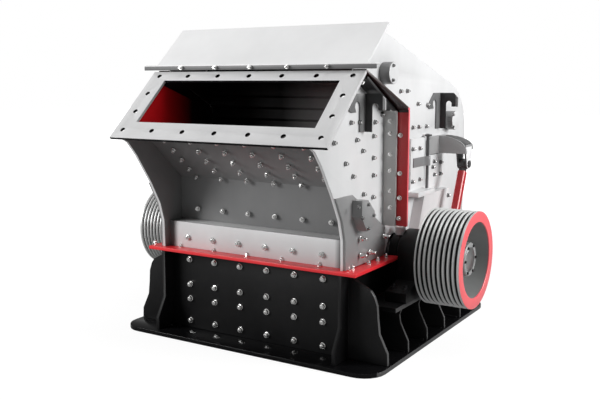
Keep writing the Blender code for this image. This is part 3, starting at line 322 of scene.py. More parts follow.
@dataclass(frozen=True)
class Finish:
    """A surface finish.

    Attributes:
        name: Name of the material.
        color: Linear base colour.
        roughness: Mean roughness.
        metallic: 1 for bare metal.
        grain: Kind of fine relief.
        relief: Depth of that relief in metres.
        cloud: Share by which slow clouds vary the colour.
        dust: Share of pale dust in the clouds' hollows.
        coat: Weight of a clear coat.
        gloss: Level of the plain reflection.
        zones: Spaces with another colour.
    """

    name: str
    color: Triple
    roughness: float = 0.4
    metallic: float = 0.0
    grain: Grain = Grain.PEEL
    relief: float = 0.00012
    cloud: float = 0.05
    dust: float = 0.0
    coat: float = 0.0
    gloss: float = 0.5
    zones: tuple[Zone | Core | Fade, ...] = ()

    def material(self) -> bpy.types.Material:
        """The finish's material, made once."""
        return bpy.data.materials.get(self.name) or self._build()

    def _tones(self, nodes: Nodes, share: Wire, color: Triple) -> bpy.types.NodeSocket:
        """Colour that the clouds vary."""
        return nodes.mix(share, shade(color, 1.0 - self.cloud), shade(color, 1.0 + self.cloud))

    def _build(self) -> bpy.types.Material:
        """Makes the material's nodes."""
        material = bpy.data.materials.new(self.name)
        nodes = Nodes(material)
        share = nodes.ramp(nodes.noise(*CLOUDS), CLOUD_STOPS)
        base = self._tones(nodes, share, self.color)
        for zone in self.zones:
            base = nodes.mix(zone.mask(nodes), base, self._tones(nodes, share, zone.color))
        if self.dust > 0.0:
            grit = nodes.ramp(nodes.noise(*GRIT), GRIT_STOPS)
            base = nodes.mix(grit * self.dust, base, shade(DUST, 1.0))
        spread = nodes.noise(SPREAD) + (self.roughness - SPREAD.weight / 2)
        for name, value in (("Base Color", base), ("Roughness", spread), ("Metallic", self.metallic),
                            ("Coat Weight", self.coat), ("Coat Roughness", COAT_ROUGHNESS),
                            ("Specular IOR Level", self.gloss)):
            nodes.feed(nodes.shader.inputs[name], value)
        nodes.bump(nodes.noise(*self.grain.value), self.relief)
        return material


# Where a finish has another colour. Zones marked below as painted shade or painted highlight stand in for
# light and shade; the rest are the parts' own colours.
WEAR_GREY = Zone((0.29, 0.29, 0.292), x=(0.7608, 0.90), y=(-2.0, -0.30), z=(0.60, 1.14))
ROD_GREY = Zone((0.075, 0.075, 0.077), x=(0.782, 0.83), y=(0.298, 0.360), z=(1.043, 1.47))
KNUCKLE_GREY = Zone((0.24, 0.24, 0.245), x=(0.7812, 0.84), y=(0.05, 0.40), z=(1.20, 1.30))
# Painted shade: the pulley's groove floors are black, where shade falls into the grooves.
GROOVE_PAINTED_SHADE = Core(SHAFT, 0.3265, (0.010, 0.010, 0.011))
HOPPER_WALL = Zone((0.20, 0.20, 0.201), x=(0.0, 0.7406), y=(-2.0, -0.70), z=(0.0, 1.60))
# Painted shade: the red flanges' front parts are a darker red.
RED_FRONT_PAINTED_SHADE = Zone((0.55, 0.017, 0.022), x=(0.0, 0.9325), y=(-2.0, -0.30), z=(0.80, 1.640))
# Painted shade: the side plates' inner faces inside the chamber are near black.
CHAMBER_FRONT_PAINTED_SHADE = Zone((0.008, 0.004, 0.004), x=(0.0, 0.750), z=(1.60, 2.4))
CHAMBER_LOW_PAINTED_SHADE = Zone((0.010, 0.006, 0.006), x=(0.0, 0.750), y=(-0.70, 2.0), z=(0.0, 1.60))
CHAMBER_PAINTED_SHADE = Zone((0.008, 0.004, 0.004), x=(0.0, 0.750))
# Painted shade: the grey channel's sloped part, under the red flange, is near black.
CHANNEL_UNDER_PAINTED_SHADE = Zone((0.016, 0.016, 0.017), x=(0.0, 1.0), z=(1.652, 2.4))
# Painted shade: the sloped red flange's underside is near black.
RED_UNDER_PAINTED_SHADE = Zone((0.020, 0.004, 0.004), x=(0.0, 0.9325), y=(-2.0, -0.30), z=(1.640, 2.4))
# Painted shade: the hooks' blades that stand out from the side plate are near black.
HOOK_BLADE_PAINTED_SHADE = Zone((0.014, 0.014, 0.015), x=(0.7735, 0.90))
# Painted highlight: a light grey band on the hooks' outer edges.
HOOK_EDGE_PAINTED_HIGHLIGHT = Zone((0.55, 0.55, 0.555), x=(0.8985, 0.93), y=(-2.0, -0.30))
# Painted shade: the white caps' cylinders are grey; only their end faces stay white.
CAP_PAINTED_SHADE = Zone((0.19, 0.19, 0.192), x=(0.762, 0.8375))
# Painted highlight: a white band along the grey top bar's top.
BAR_TOP_PAINTED_HIGHLIGHT = Zone((0.86, 0.86, 0.86), x=(0.0, 1.0), z=(1.957, 2.4))
TUBE_RED = Zone((0.47, 0.011, 0.017), x=(0.90, 1.02), y=(0.20, 2.0), z=(0.30, 1.35))
HANGER_GREY = Zone((0.085, 0.085, 0.086), x=(0.90, 1.0095), y=(0.30, 2.0), z=(0.90, 1.2925))
# Painted highlight: a thin white band on the hanger's outer face.
HANGER_PAINTED_HIGHLIGHT = Zone((0.86, 0.86, 0.865), x=(1.0095, 1.0112), y=(0.30, 2.0), z=(0.90, 1.345))
PIN_GREY = Zone((0.06, 0.06, 0.061), x=(1.0112, 1.03), y=(0.60, 0.68), z=(1.17, 1.25))
LINER_SHADE = Fade(1, -0.96, -0.60, (0.004, 0.001, 0.001))
# Painted shade: the lower panel darkens towards both ends, in the corners by the side plates.
PANEL_LEFT_PAINTED_SHADE = Fade(0, -0.665, -0.705, (0.17, 0.17, 0.172))
PANEL_RIGHT_PAINTED_SHADE = Fade(0, 0.665, 0.705, (0.17, 0.17, 0.172))
# Painted light: the aprons turn grey towards +x, where light falls into the chamber.
APRON_PAINTED_LIGHT = Fade(0, -0.05, 0.40, (0.16, 0.16, 0.161))
# Painted highlight: the red flanges' outer edges are pink.
RED_EDGE_PAINTED_HIGHLIGHT = Zone((1.0, 0.16, 0.19), x=(0.9325, 0.95), y=(-2.0, 0.0), z=(0.60, 2.2))

WHITE = Finish("white_paint", (0.79, 0.795, 0.80), 0.36, coat=0.25)
# The front and rear side paints carry the chamber's painted shade.
FRONT_WHITE = replace(WHITE, name="front_side_paint",
                      zones=(WEAR_GREY, HOPPER_WALL, CHAMBER_FRONT_PAINTED_SHADE, CHAMBER_LOW_PAINTED_SHADE))
REAR_WHITE = replace(WHITE, name="rear_side_paint", zones=(ROD_GREY, CHAMBER_PAINTED_SHADE))
DOOR_WHITE = replace(WHITE, name="door_paint", zones=(KNUCKLE_GREY,))
# The cap paint carries painted shade on the cylinders.
CAP_WHITE = replace(WHITE, name="cap_paint", zones=(CAP_PAINTED_SHADE,))
# The top bar paint carries a painted highlight along its top.
BAR_GREY = Finish("top_bar_paint", (0.17, 0.17, 0.172), 0.42, zones=(BAR_TOP_PAINTED_HIGHLIGHT,))
PALE = Finish("pale_grey_paint", (0.72, 0.72, 0.725), 0.38, coat=0.2)
# The panel paint carries painted shade at both ends.
PANEL = replace(PALE, name="front_panel_paint", zones=(PANEL_LEFT_PAINTED_SHADE, PANEL_RIGHT_PAINTED_SHADE))
ROOF = Finish("roof_paint", (0.86, 0.862, 0.865), 0.42, coat=0.1, cloud=0.03)
GREY = Finish("mid_grey_paint", (0.225, 0.226, 0.228), 0.40, dust=0.03, coat=0.15)
# The channel paint carries painted shade on its sloped part.
CHANNEL = Finish("channel_grey_paint", (0.52, 0.52, 0.515), 0.42, zones=(CHANNEL_UNDER_PAINTED_SHADE,))
BLACK = Finish("black_paint", (0.0065, 0.0065, 0.007), 0.42, cloud=0.25, dust=0.006, gloss=0.18)
FOOT_BLACK = Finish("foot_black_paint", (0.004, 0.004, 0.0045), 0.20, cloud=0.2, dust=0.004, gloss=0.16)
# The red paint carries painted shade on the flanges' front and underside and a painted highlight on their
# outer edges.
RED = Finish("red_paint", (0.90, 0.030, 0.040), 0.33, coat=0.2,
             zones=(RED_EDGE_PAINTED_HIGHLIGHT, RED_UNDER_PAINTED_SHADE, RED_FRONT_PAINTED_SHADE, TUBE_RED))
FACE_RED = Finish("face_red_paint", (1.0, 0.15, 0.17), 0.36, coat=0.15)
DEEP_RED = Finish("deep_red_paint", (1.0, 0.012, 0.020), 0.55, gloss=0.2, zones=(LINER_SHADE,))
# The hook paint carries painted shade on its blades and a painted highlight on their outer edges.
HOOK = Finish("hook_grey_paint", (0.165, 0.166, 0.168), 0.42, cloud=0.1, zones=(HOOK_BLADE_PAINTED_SHADE, HOOK_EDGE_PAINTED_HIGHLIGHT))
# The arm paint carries a painted highlight on the hanger.
ARM = Finish("arm_grey_paint", (0.36, 0.36, 0.362), 0.42, cloud=0.08,
             zones=(HANGER_GREY, HANGER_PAINTED_HIGHLIGHT, PIN_GREY))
ROD = Finish("jack_rod_grey", (0.07, 0.07, 0.071), 0.36, 0.3, Grain.TURNED, 0.00006, 0.08)
# Painted highlight: the jack tubes' chamfers are pale pink.
TUBE_EDGE_PAINTED_HIGHLIGHT = Finish("jack_tube_painted_highlight", (1.0, 0.50, 0.50), 0.30, coat=0.3)
BOLT = Finish("bolt_zinc", (0.86, 0.86, 0.85), 0.26, 1.0, Grain.MILLED, 0.00005, 0.08)
DARK_BOLT = Finish("bolt_dark_zinc", (0.24, 0.24, 0.24), 0.26, 1.0, Grain.MILLED, 0.00005, 0.12)
BLACK_BOLT = Finish("bolt_black_oxide", (0.030, 0.030, 0.032), 0.40, 0.6, Grain.MILLED, 0.00005, 0.15)
# The grooved rim carries painted shade in its grooves.
GROOVED = Finish("grooved_rim_steel", (0.66, 0.67, 0.665), 0.36, 0.15, Grain.TURNED, 0.00006, 0.05,
                 zones=(GROOVE_PAINTED_SHADE,))
WEB = Finish("pulley_web_paint", (0.34, 0.35, 0.348), 0.45, 0.2, Grain.CAST, 0.0003, 0.12)
TURNED = Finish("turned_shaft_steel", (0.46, 0.46, 0.46), 0.32, 1.0, Grain.TURNED, 0.00006, 0.06)
IRON = Finish("worn_iron", (0.020, 0.020, 0.021), 0.60, 0.0, Grain.CAST, 0.0005, 0.35, gloss=0.2)
# Painted shade: the aprons' near-black colour stands for the chamber's shade; its zone adds painted light to
# the right.
APRON_PAINTED_LIGHT_AND_SHADE = Finish("apron_iron_painted_light_and_shade", (0.0012, 0.0012, 0.0012), 0.60, 0.0, Grain.CAST, 0.0005, 0.2, gloss=0.1,
               zones=(APRON_PAINTED_LIGHT,))
BLACK_WELD = Finish("black_weld", (0.014, 0.014, 0.0145), 0.38, cloud=0.2, gloss=0.35)
# Painted highlight: grey on the black ribs' and foot plate's outer edges.
EDGE_PAINTED_HIGHLIGHT = Finish("black_edge_painted_highlight", (0.085, 0.085, 0.086), 0.40, cloud=0.2, gloss=0.4)
# Painted shade: black in the inlet flange's bolt holes and on its lower edge.
HOLE_AND_EDGE_PAINTED_SHADE = Finish("hole_and_edge_painted_shade", (0.010, 0.010, 0.011), 0.60, cloud=0.2, gloss=0.1)


def pair(name: str) -> tuple[str, str]:
    """Names of the right and the left node of a pair."""
    return name + "_right", name + "_left"


NODE_FINISH: dict[Finish, tuple[str, ...]] = {
    BLACK: ("front_wall", "rear_wall", *pair("base_side"), *pair("bearing_housing"), *pair("jack_bracket")),
    FOOT_BLACK: ("foot_plate",),
    WHITE: ("back_cover",),
    CAP_WHITE: ("front_apron_shaft", "rear_apron_shaft"),
    BAR_GREY: ("top_bar",),
    FRONT_WHITE: pair("front_side"),
    REAR_WHITE: pair("rear_side"),
    DOOR_WHITE: pair("door"),
    ROOF: ("roof_plate",),
    PALE: ("inlet_flange",),
    PANEL: ("lower_front_panel",),
    GREY: ("hopper_plate",),
    CHANNEL: pair("front_split_flange"),
    RED: ("front_mid_flange", "rear_mid_flange", *pair("rear_split_flange"), *pair("jack_tube")),
    DEEP_RED: pair("inlet_liner"),
    HOOK: (*pair("front_hook"), *pair("rear_hook")),
    ARM: pair("jack_arm"),
    TURNED: ("rotor_shaft",),
    ROD: pair("jack_rod"),
    IRON: ("rotor_body", "blow_bar_1", "blow_bar_2", "blow_bar_3", "blow_bar_4"),
    APRON_PAINTED_LIGHT_AND_SHADE: ("front_apron", "rear_apron"),
}
SHARP_NODES = (*pair("inlet_liner"), "rotor_body")  # shown as packed
CONCAVE_NODES = pair("front_side")  # their faces can't be joined


@dataclass(frozen=True)
class Accent:
    """Faces of some nodes that have a second finish.

    Attributes:
        nodes: Names of the nodes.
        finish: The second finish.
        sideways: Least and most share of the face's normal across the machine.
        facing: Direction that the face must look along, or None for any.
        beyond: Least distance of the face from the middle plane.
        largest: Largest area of the face.
    """

    nodes: tuple[str, ...]
    finish: Finish
    sideways: Pair = (0.0, 1.1)
    facing: Triple | None = None
    beyond: float = 0.0
    largest: float = 100.0

    def dress(self, mesh: bpy.types.Mesh) -> None:
        """Adds the finish to a mesh and gives it to the faces that fit."""
        mesh.materials.append(self.finish.material())
        low, high = self.sideways
        for face in mesh.polygons:
            along = face.normal.dot(Vector(self.facing)) if self.facing else 1.0
            if (low <= abs(face.normal.x) <= high and along > SAME_WAY
                    and abs(face.center.x) >= self.beyond and face.area < self.largest):
                face.material_index = len(mesh.materials) - 1


# Painted highlights on the ribs', foot plate's and jack tubes' edges, and painted shade in the inlet
# flange's holes and on its lower edge.
ACCENTS = (
    Accent(pair("base_side"), EDGE_PAINTED_HIGHLIGHT, sideways=(0.5, 1.1), beyond=0.86),
    Accent(("foot_plate",), EDGE_PAINTED_HIGHLIGHT, sideways=(0.9, 1.1), beyond=1.0),
    Accent(("inlet_flange",), HOLE_AND_EDGE_PAINTED_SHADE, largest=0.0004),
    Accent(("inlet_flange",), HOLE_AND_EDGE_PAINTED_SHADE, facing=(0.0, -0.731, -0.682)),
    Accent(pair("jack_tube"), TUBE_EDGE_PAINTED_HIGHLIGHT, sideways=(0.6, 0.8)),
)


@dataclass(frozen=True)
class PhotoCamera:
    """The photograph's viewpoint, found from its vanishing points.

    Attributes:
        place: Position in metres.
        azimuth: Turn from +Y towards -X, in degrees.
        pitch: Downward tilt in degrees.
        focal: Focal length in pixels.
        width: Picture width in pixels.
        height: Picture height in pixels.
        sensor: Sensor width in millimetres.
    """

    place: Triple = (3.2005, -5.3912, 1.85)
    azimuth: float = 31.8
    pitch: float = 8.37
    focal: float = 807.0
    width: int = 600
    height: int = 400
    sensor: float = 36.0

    def axes(self) -> tuple[np.ndarray, np.ndarray, np.ndarray]:
        """Right, up and forward directions."""
        turn, dip = math.radians(self.azimuth), math.radians(self.pitch)
        right = np.array([math.cos(turn), math.sin(turn), 0.0])
        level = np.array([-math.sin(turn), math.cos(turn), 0.0])
        forward = level * math.cos(dip) - np.array([0.0, 0.0, math.sin(dip)])
        return right, np.cross(right, forward), forward

    def on_plane(self, pixels: Pixels, point: Triple, normal: Triple) -> np.ndarray:
        """Where the rays of some pixels meet a plane.

        Args:
            pixels: Pixels of the photograph.
            point: A point of the plane.
            normal: The plane's normal.

        Returns:
            One point for each pixel.
        """
        right, up, forward = self.axes()
        spot = np.array(pixels, float)
        rays = (np.outer(spot[:, 0] - self.width / 2, right) - np.outer(spot[:, 1] - self.height / 2, up)
                + forward * self.focal)
        start = np.array(self.place)
        reach = (np.array(point) - start) @ np.array(normal) / (rays @ np.array(normal))
        return start + rays * reach[:, None]

    def make(self) -> None:
        """Makes the scene's camera."""
        data = bpy.data.cameras.new("photo_camera")
        data.sensor_width = self.sensor
        data.lens = self.focal * self.sensor / self.width
        data.clip_end = 100.0
        camera = bpy.data.objects.new("photo_camera", data)
        camera.location = self.place
        camera.rotation_euler = (math.radians(90.0 - self.pitch), 0.0, math.radians(self.azimuth))
        bpy.context.scene.collection.objects.link(camera)
        bpy.context.scene.camera = camera


PHOTO = PhotoCamera()


@dataclass
class Surface:
    """A mesh as whole arrays.

    Attributes:
        points: Vertices, n by 3.
        quads: Faces, k by 4, with a repeated vertex where a face is a triangle.
    """

    points: np.ndarray
    quads: np.ndarray

    @classmethod
    def rings(cls, table: np.ndarray, closed: bool = False) -> "Surface":
        """Surface through rings of points.

        Args:
            table: Points, rings by points by 3.
            closed: Whether the last ring joins the first.

        Returns:
            The surface, with a quad between each four neighbours.
        """
        index = np.arange(table.shape[0] * table.shape[1]).reshape(table.shape[:2])
        if closed:
            index = np.concatenate([index, index[:1]], 0)
        index = np.concatenate([index, index[:, :1]], 1)
        quads = np.stack([index[:-1, :-1], index[:-1, 1:], index[1:, 1:], index[1:, :-1]], -1)
        return cls(table.reshape(-1, 3), quads.reshape(-1, 4))

    @classmethod
    def joined(cls, surfaces: list["Surface"]) -> "Surface":
        """All surfaces as one."""
        starts = np.cumsum([0] + [len(s.points) for s in surfaces[:-1]])
        return cls(np.concatenate([s.points for s in surfaces]),
                   np.concatenate([s.quads + start for s, start in zip(surfaces, starts)]))

    def copies(self, origins: np.ndarray, axes: np.ndarray) -> "Surface":
        """Copies at many places.

        Args:
            origins: Where each copy's origin goes, m by 3.
            axes: Each copy's x, y and z directions, m by 3 by 3.

        Returns:
            All copies as one surface.
        """
        points = np.einsum("nj,mjk->mnk", self.points, axes) + origins[:, None, :]
        offsets = np.arange(len(origins))[:, None, None] * len(self.points)
        return Surface(points.reshape(-1, 3), (self.quads[None] + offsets).reshape(-1, 4))

    def twin(self) -> "Surface":
        """This surface on the other side of the machine."""
        return Surface(self.points * np.array([-1.0, 1.0, 1.0]), self.quads[:, ::-1])

    def mirrored(self) -> "Surface":
        """Both this surface and its twin on the other side of the machine."""
        return Surface.joined([self, self.twin()])

    def piece(self, name: str, finish: Finish, body: Body, slot: str = "",
              stands_for: tuple[str, ...] = ()) -> bpy.types.Object:
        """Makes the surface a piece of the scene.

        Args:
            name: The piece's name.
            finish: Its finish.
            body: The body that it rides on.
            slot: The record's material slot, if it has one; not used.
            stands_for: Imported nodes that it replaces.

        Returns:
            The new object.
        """
        mesh = bpy.data.meshes.new(name)
        mesh.from_pydata(self.points.tolist(), [], [tuple(dict.fromkeys(q)) for q in self.quads.tolist()])
        form = bmesh.new()
        form.from_mesh(mesh)
        bmesh.ops.remove_doubles(form, verts=form.verts, dist=DOUBLE)
        bmesh.ops.recalc_face_normals(form, faces=form.faces)
        form.to_mesh(mesh)
        form.free()
        mesh.shade_smooth()
        mesh.set_sharp_from_angle(angle=SHARP)
        return placed(bpy.data.objects.new(name, mesh), finish, body.value, stands_for)


def placed(piece: bpy.types.Object, finish: Finish, body: str,
           stands_for: tuple[str, ...]) -> bpy.types.Object:
    """Links a piece, dresses it and puts it on its body.

    Args:
        piece: The new object.
        finish: Its finish.
        body: Name of the body that it rides on.
        stands_for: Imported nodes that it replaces.

    Returns:
        The same object.
    """
    bpy.context.scene.collection.objects.link(piece)
    piece.data.materials.clear()
    piece.data.materials.append(finish.material())
    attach(piece, body)
    if stands_for:
        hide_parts(*stands_for)
    LOG.info("%s on %s", piece.name, body)
    return piece


def unit(vector: np.ndarray) -> np.ndarray:
    """A vector, or each of some rows, with length 1."""
    return vector / np.linalg.norm(vector, axis=-1, keepdims=True)


def frame_along(direction: Triple) -> np.ndarray:
    """Three axes whose last one is the given direction."""
    out = unit(np.array(direction, float))
    side = np.cross(out, [0.0, 0.0, 1.0])
    side = unit(side) if np.linalg.norm(side) > 0.1 else np.array([1.0, 0.0, 0.0])
    return np.stack([side, np.cross(out, side), out])


def upright_grid(columns: tuple[float, ...] | np.ndarray, rows: tuple[float, ...], y: float) -> np.ndarray:
    """Places at the crossings of columns and rows on an upright plate across Y."""
    x, z = np.meshgrid(np.array(columns), np.array(rows))
    return np.stack([x.ravel(), np.full(x.size, y), z.ravel()], -1)


def circle(x: float, radius: float, count: int, start: float = 0.0) -> np.ndarray:
    """Even places on a circle about the shaft, the first one turned by a share of a step."""
    turn = (np.arange(count) + start) * 2.0 * math.pi / count
    y, z = SHAFT
    return np.stack([np.full(count, x), y + radius * np.cos(turn), z + radius * np.sin(turn)], -1)


@dataclass(frozen=True)
class Bolt:
    """Hexagon nut on a washer, with the stud's end standing out.

    Attributes:
        flat: Half the width across flats.
        high: Height of the nut.
        washer: Radius of the washer, 0 for none.
        washer_high: Thickness of the washer.
        stud: Radius of the stud.
        stud_long: Height of the stud's end above the seat.
        shank: Bare length of stud between the seat and the washer.
        washer_edge: Share of the washer's thickness where its bevel starts, and the bevel's width.
        nut_edge: Depth of the nut's bevel, and the share of flat that stays at its top.
        stud_edge: Depth of the bevel at the stud's end, and the share of its radius that stays.
    """

    flat: float = 0.0165
    high: float = 0.015
    washer: float = 0.0225
    washer_high: float = 0.004
    stud: float = 0.0105
    stud_long: float = 0.026
    shank: float = 0.0
    washer_edge: Pair = (0.8, 0.001)
    nut_edge: Pair = (0.003, 0.98)
    stud_edge: Pair = (0.002, 0.75)

    def surface(self) -> Surface:
        """Rings round the axis. The nut's radius is flat / cos(angle from the middle of its side)."""
        turn = np.arange(12) * math.pi / 6
        hexagon = self.flat / np.cos((turn % (math.pi / 3)) - math.pi / 6)
        seat = low = self.shank
        rings = [(0.0, self.stud), (seat, self.stud)] if self.shank else []
        if self.washer:
            low = seat + self.washer_high
            start, width = self.washer_edge
            rings += [(seat, self.washer), (seat + self.washer_high * start, self.washer),
                      (low, self.washer - width)]
        top, end = low + self.high, seat + self.stud_long
        (nut_bevel, nut_share), (stud_bevel, stud_share) = self.nut_edge, self.stud_edge
        rings += [(low, hexagon), (top - nut_bevel, hexagon),
                  (top, np.minimum(hexagon, self.flat * nut_share)), (top, self.stud),
                  (end - stud_bevel, self.stud), (end, self.stud * stud_share), (end, 0.0)]
        ones = np.ones(turn.size)
        table = np.stack([np.stack([radius * np.cos(turn), radius * np.sin(turn), height * ones], -1)
                          for height, radius in rings])
        return Surface.rings(table)

    def at(self, origins: np.ndarray, direction: Triple) -> Surface:
        """Bolts at some places, each turned a little differently about its axis."""
        axes = frame_along(direction)
        turn = np.arange(len(origins)) * BOLT_TURN
        spun = np.stack([np.stack([np.cos(turn), np.sin(turn), 0 * turn], -1),
                         np.stack([-np.sin(turn), np.cos(turn), 0 * turn], -1),
                         np.tile([0.0, 0.0, 1.0], (len(turn), 1))], 1)
        return self.surface().copies(origins, np.einsum("mij,jk->mik", spun, axes))


PLAIN = Bolt(flat=0.0125, high=0.014, washer=0.0165, stud=0.009, stud_long=0.028)
SMALL = Bolt(flat=0.0095, high=0.010, washer=0.0125, stud=0.006, stud_long=0.017)
LONG = Bolt(flat=0.0145, high=0.018, washer=0.019, stud=0.010, stud_long=0.046, shank=0.012)
STUD = Bolt(flat=0.014, high=0.013, washer=0.019, stud=0.009, stud_long=0.026, shank=0.014)
BAR_BOLT = Bolt(flat=0.012, high=0.012, washer=0.0145, stud=0.008, stud_long=0.03)
FLANGE_BOLT = Bolt(flat=0.0125, high=0.012, washer=0.0165, stud=0.009, stud_long=0.026)
HUB_BOLT = Bolt(flat=0.0085, high=0.010, washer=0.0, stud=0.004, stud_long=0.0102)
COVER_BOLT = Bolt(flat=0.0075, high=0.008, washer=0.0, stud=0.004, stud_long=0.0082)
COVER_BLOCK = Bolt(flat=0.036, high=0.052, washer=0.040, washer_high=0.008, stud=0.018, stud_long=0.066)
FOOT_BOLT = Bolt(flat=0.019, high=0.020, washer=0.026, stud=0.012, stud_long=0.040)
ANCHOR = Bolt(flat=0.018, high=0.019, washer=0.026, stud=0.012, stud_long=0.045)


def lathe(profile: list[Pair], sides: int = 96) -> Surface:
    """Closed (x, radius) profile turned about the shaft's axis."""
    line = np.array(profile)
    turn = np.arange(sides) * 2 * math.pi / sides
    table = np.stack([np.broadcast_to(line[:, :1], (len(line), sides)),
                      SHAFT[0] + line[:, 1:] * np.cos(turn), SHAFT[1] + line[:, 1:] * np.sin(turn)], -1)
    return Surface.rings(table, closed=True)


def bead(start: np.ndarray, end: np.ndarray, radius: float, pitch: float) -> Surface:
    """Straight rippled tube. Its radius is r and BEAD_DIP r by turns, half a pitch apart, and 0 at the ends.

    Args:
        start: One end of the seam.
        end: The other end.
        radius: Largest radius.
        pitch: Length of one ripple.

    Returns:
        The bead.
    """
    run = end - start
    count = max(4, int(np.linalg.norm(run) / pitch * 2))
    side = unit(np.cross(run, BEAD_ACROSS))
    turn = np.arange(6) * math.pi / 3
    ring = np.outer(np.cos(turn), side) + np.outer(np.sin(turn), np.cross(side, unit(run)))
    swell = np.where(np.arange(count) % 2, radius, radius * BEAD_DIP)
    swell[[0, -1]] = 0.0
    line = start + np.linspace(0.0, 1.0, count)[:, None] * run
    return Surface.rings(line[:, None, :] + ring * swell[:, None, None])


@dataclass
class SoftenedPlates:
    """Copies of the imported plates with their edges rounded, as ground and painted steel has them.

    Attributes:
        radius: Radius of the edges.
        weld_distance: Distance at which doubled points are merged.
        flat_angle: Angle up to which faces are joined.
        edge_angle: Angle from which an edge is rounded.
    """

    radius: float = 0.0022
    weld_distance: float = 1e-5
    flat_angle: float = math.radians(0.5)
    edge_angle: float = math.radians(30.0)

    def copy(self, name: str, finish: Finish) -> None:
        """Copy of one node: doubles merged, flat faces joined, sharp edges bevelled."""
        source = frame["nodes"][name]
        mesh = source.data.copy()
        form = bmesh.new()
        form.from_mesh(mesh)
        bmesh.ops.remove_doubles(form, verts=form.verts, dist=self.weld_distance)
        if name not in CONCAVE_NODES:
            bmesh.ops.dissolve_limit(form, angle_limit=self.flat_angle, verts=form.verts, edges=form.edges)
        form.to_mesh(mesh)
        form.free()
        piece = bpy.data.objects.new(name + "_edged", mesh)
        edge = piece.modifiers.new("edge", "BEVEL")
        edge.width = self.radius
        edge.segments = 2
        edge.limit_method = "ANGLE"
        edge.angle_limit = self.edge_angle
        edge.harden_normals = True
        mesh.shade_smooth()
        placed(piece, finish, source["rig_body"], (name,))
        for accent in ACCENTS:
            if name in accent.nodes:
                accent.dress(mesh)

    def build(self) -> None:
        """Dresses every node, and softens all but the sharp ones."""
        for finish, names in NODE_FINISH.items():
            for name in names:
                if name in SHARP_NODES:
                    node = frame["nodes"][name]
                    node.data.materials.clear()
                    node.data.materials.append(finish.material())
                else:
                    self.copy(name, finish)


@dataclass
class Pulleys:
    """Both belt pulleys as smooth surfaces, with the painted face ring and hub bolts.

    Attributes:
        rim: Outer radius.
        inside: Radius of the recess in the face.
        grooves: Number of belt grooves.
        depth: Depth of a groove.
        web_x: Place of the web's outer face.
        web: Thickness of the web.
        hub: Radius of the hub.
        bore: Radius of the shaft.
        last_land: Width of the plain band beside the face.
        hub_end: Place of the hub's outer end.
        side: Places of the rim's inner and outer face.
        groove: Line of one land and groove, as shares of the pitch and of the depth.
        wall: Thickness of the wall round the recess, up to the rim's body.
        ring_edge: Outer corners of the painted ring, in from the face and in from the rim.
        ring_lip: Its inner corners, in from the face and out from the recess.
        wall_foot: Corners of recess and web, out from the web and in from the wall.
        hub_foot: Corners of web and hub, out from the web and out from the hub.
        hub_edge: Corners of the hub's end, in from the end and in from the hub's radius.
        bolt_circle: Radius of the hub bolts' circle.
    """

    rim: float = 0.337
    inside: float = 0.262
    grooves: int = 9
    depth: float = 0.022
    web_x: float = 1.180
    web: float = 0.040
    hub: float = 0.120
    bore: float = 0.0853
    last_land: float = 0.012
    hub_end: float = 1.338
    side: Pair = (1.066, 1.384)
    groove: tuple[Pair, ...] = (
        (0.0, 0.03), (0.02, 0.0), (0.13, 0.0), (0.16, 0.05), (0.38, 0.95), (0.42, 1.0), (0.58, 1.0),
        (0.62, 0.95), (0.84, 0.05), (0.87, 0.0), (0.98, 0.0))
    wall: float = 0.006
    ring_edge: tuple[Pair, ...] = ((0.003, 0.003), (0.0015, 0.0012), (0.0, 0.004))
    ring_lip: tuple[Pair, ...] = ((0.0, 0.003), (0.003, 0.0), (0.008, 0.0))
    wall_foot: tuple[Pair, ...] = ((0.02, 0.0), (0.004, 0.006), (0.0, 0.02))
    hub_foot: tuple[Pair, ...] = ((0.0, 0.016), (0.005, 0.004), (0.018, 0.0))
    hub_edge: tuple[Pair, ...] = ((0.006, 0.004), (0.0, 0.010))
    bolt_circle: float = 0.09965

    def grooved(self) -> list[Pair]:
        """Outer line of the rim: lands and V grooves, whose flanks are straight and floors flat."""
        low, high = self.side
        pitch = (high - self.last_land - low) / self.grooves
        line = [(start + pitch * share, self.rim - self.depth * deep)
                for start in low + np.arange(self.grooves) * pitch for share, deep in self.groove]
        return line + [(high - 0.002, self.rim - 0.0005)]

    def build(self) -> None:
        """Makes the rims, the painted rings, the recesses with web and hub, and the hub bolts."""
        low, high = self.side
        rim, inside, hub, bore = self.rim, self.inside, self.hub, self.bore
        web_x, web_in, end, lip = self.web_x, self.web_x - self.web, self.hub_end, inside + self.wall
        profiles = {
            "rim": (GROOVED, [*self.grooved(), (high - 0.0025, lip), (low, lip)]),
            "face_ring": (FACE_RED, [*((high - back, rim - deep) for back, deep in self.ring_edge),
                                     *((high - back, inside + out) for back, out in self.ring_lip)]),
            "web": (WEB, [
                (high - 0.0026, inside + 0.0005),
                *((web_x + out, inside - deep) for out, deep in self.wall_foot),
                *((web_x + out, hub + up) for out, up in self.hub_foot),
                *((end - back, hub - deep) for back, deep in self.hub_edge),
                (end, bore), (low, bore), (low, hub), (web_in, hub), (web_in, inside), (low, inside),
                (low, lip), (high - 0.0026, lip)]),
        }
        for name, (finish, profile) in profiles.items():
            surface = lathe(profile)
            for side, mesh in (("right", surface), ("left", surface.twin())):
                stands = ("pulley_" + side,) if name == "rim" else ()
                mesh.piece(f"pulley_{name}_{side}", finish, Body.ROTOR, "pulley_" + side, stands)
        places = circle(end - 2 * SUNK, self.bolt_circle, 6)
        HUB_BOLT.at(places, (1, 0, 0)).mirrored().piece("pulley_hub_bolts", BLACK_BOLT, Body.ROTOR)


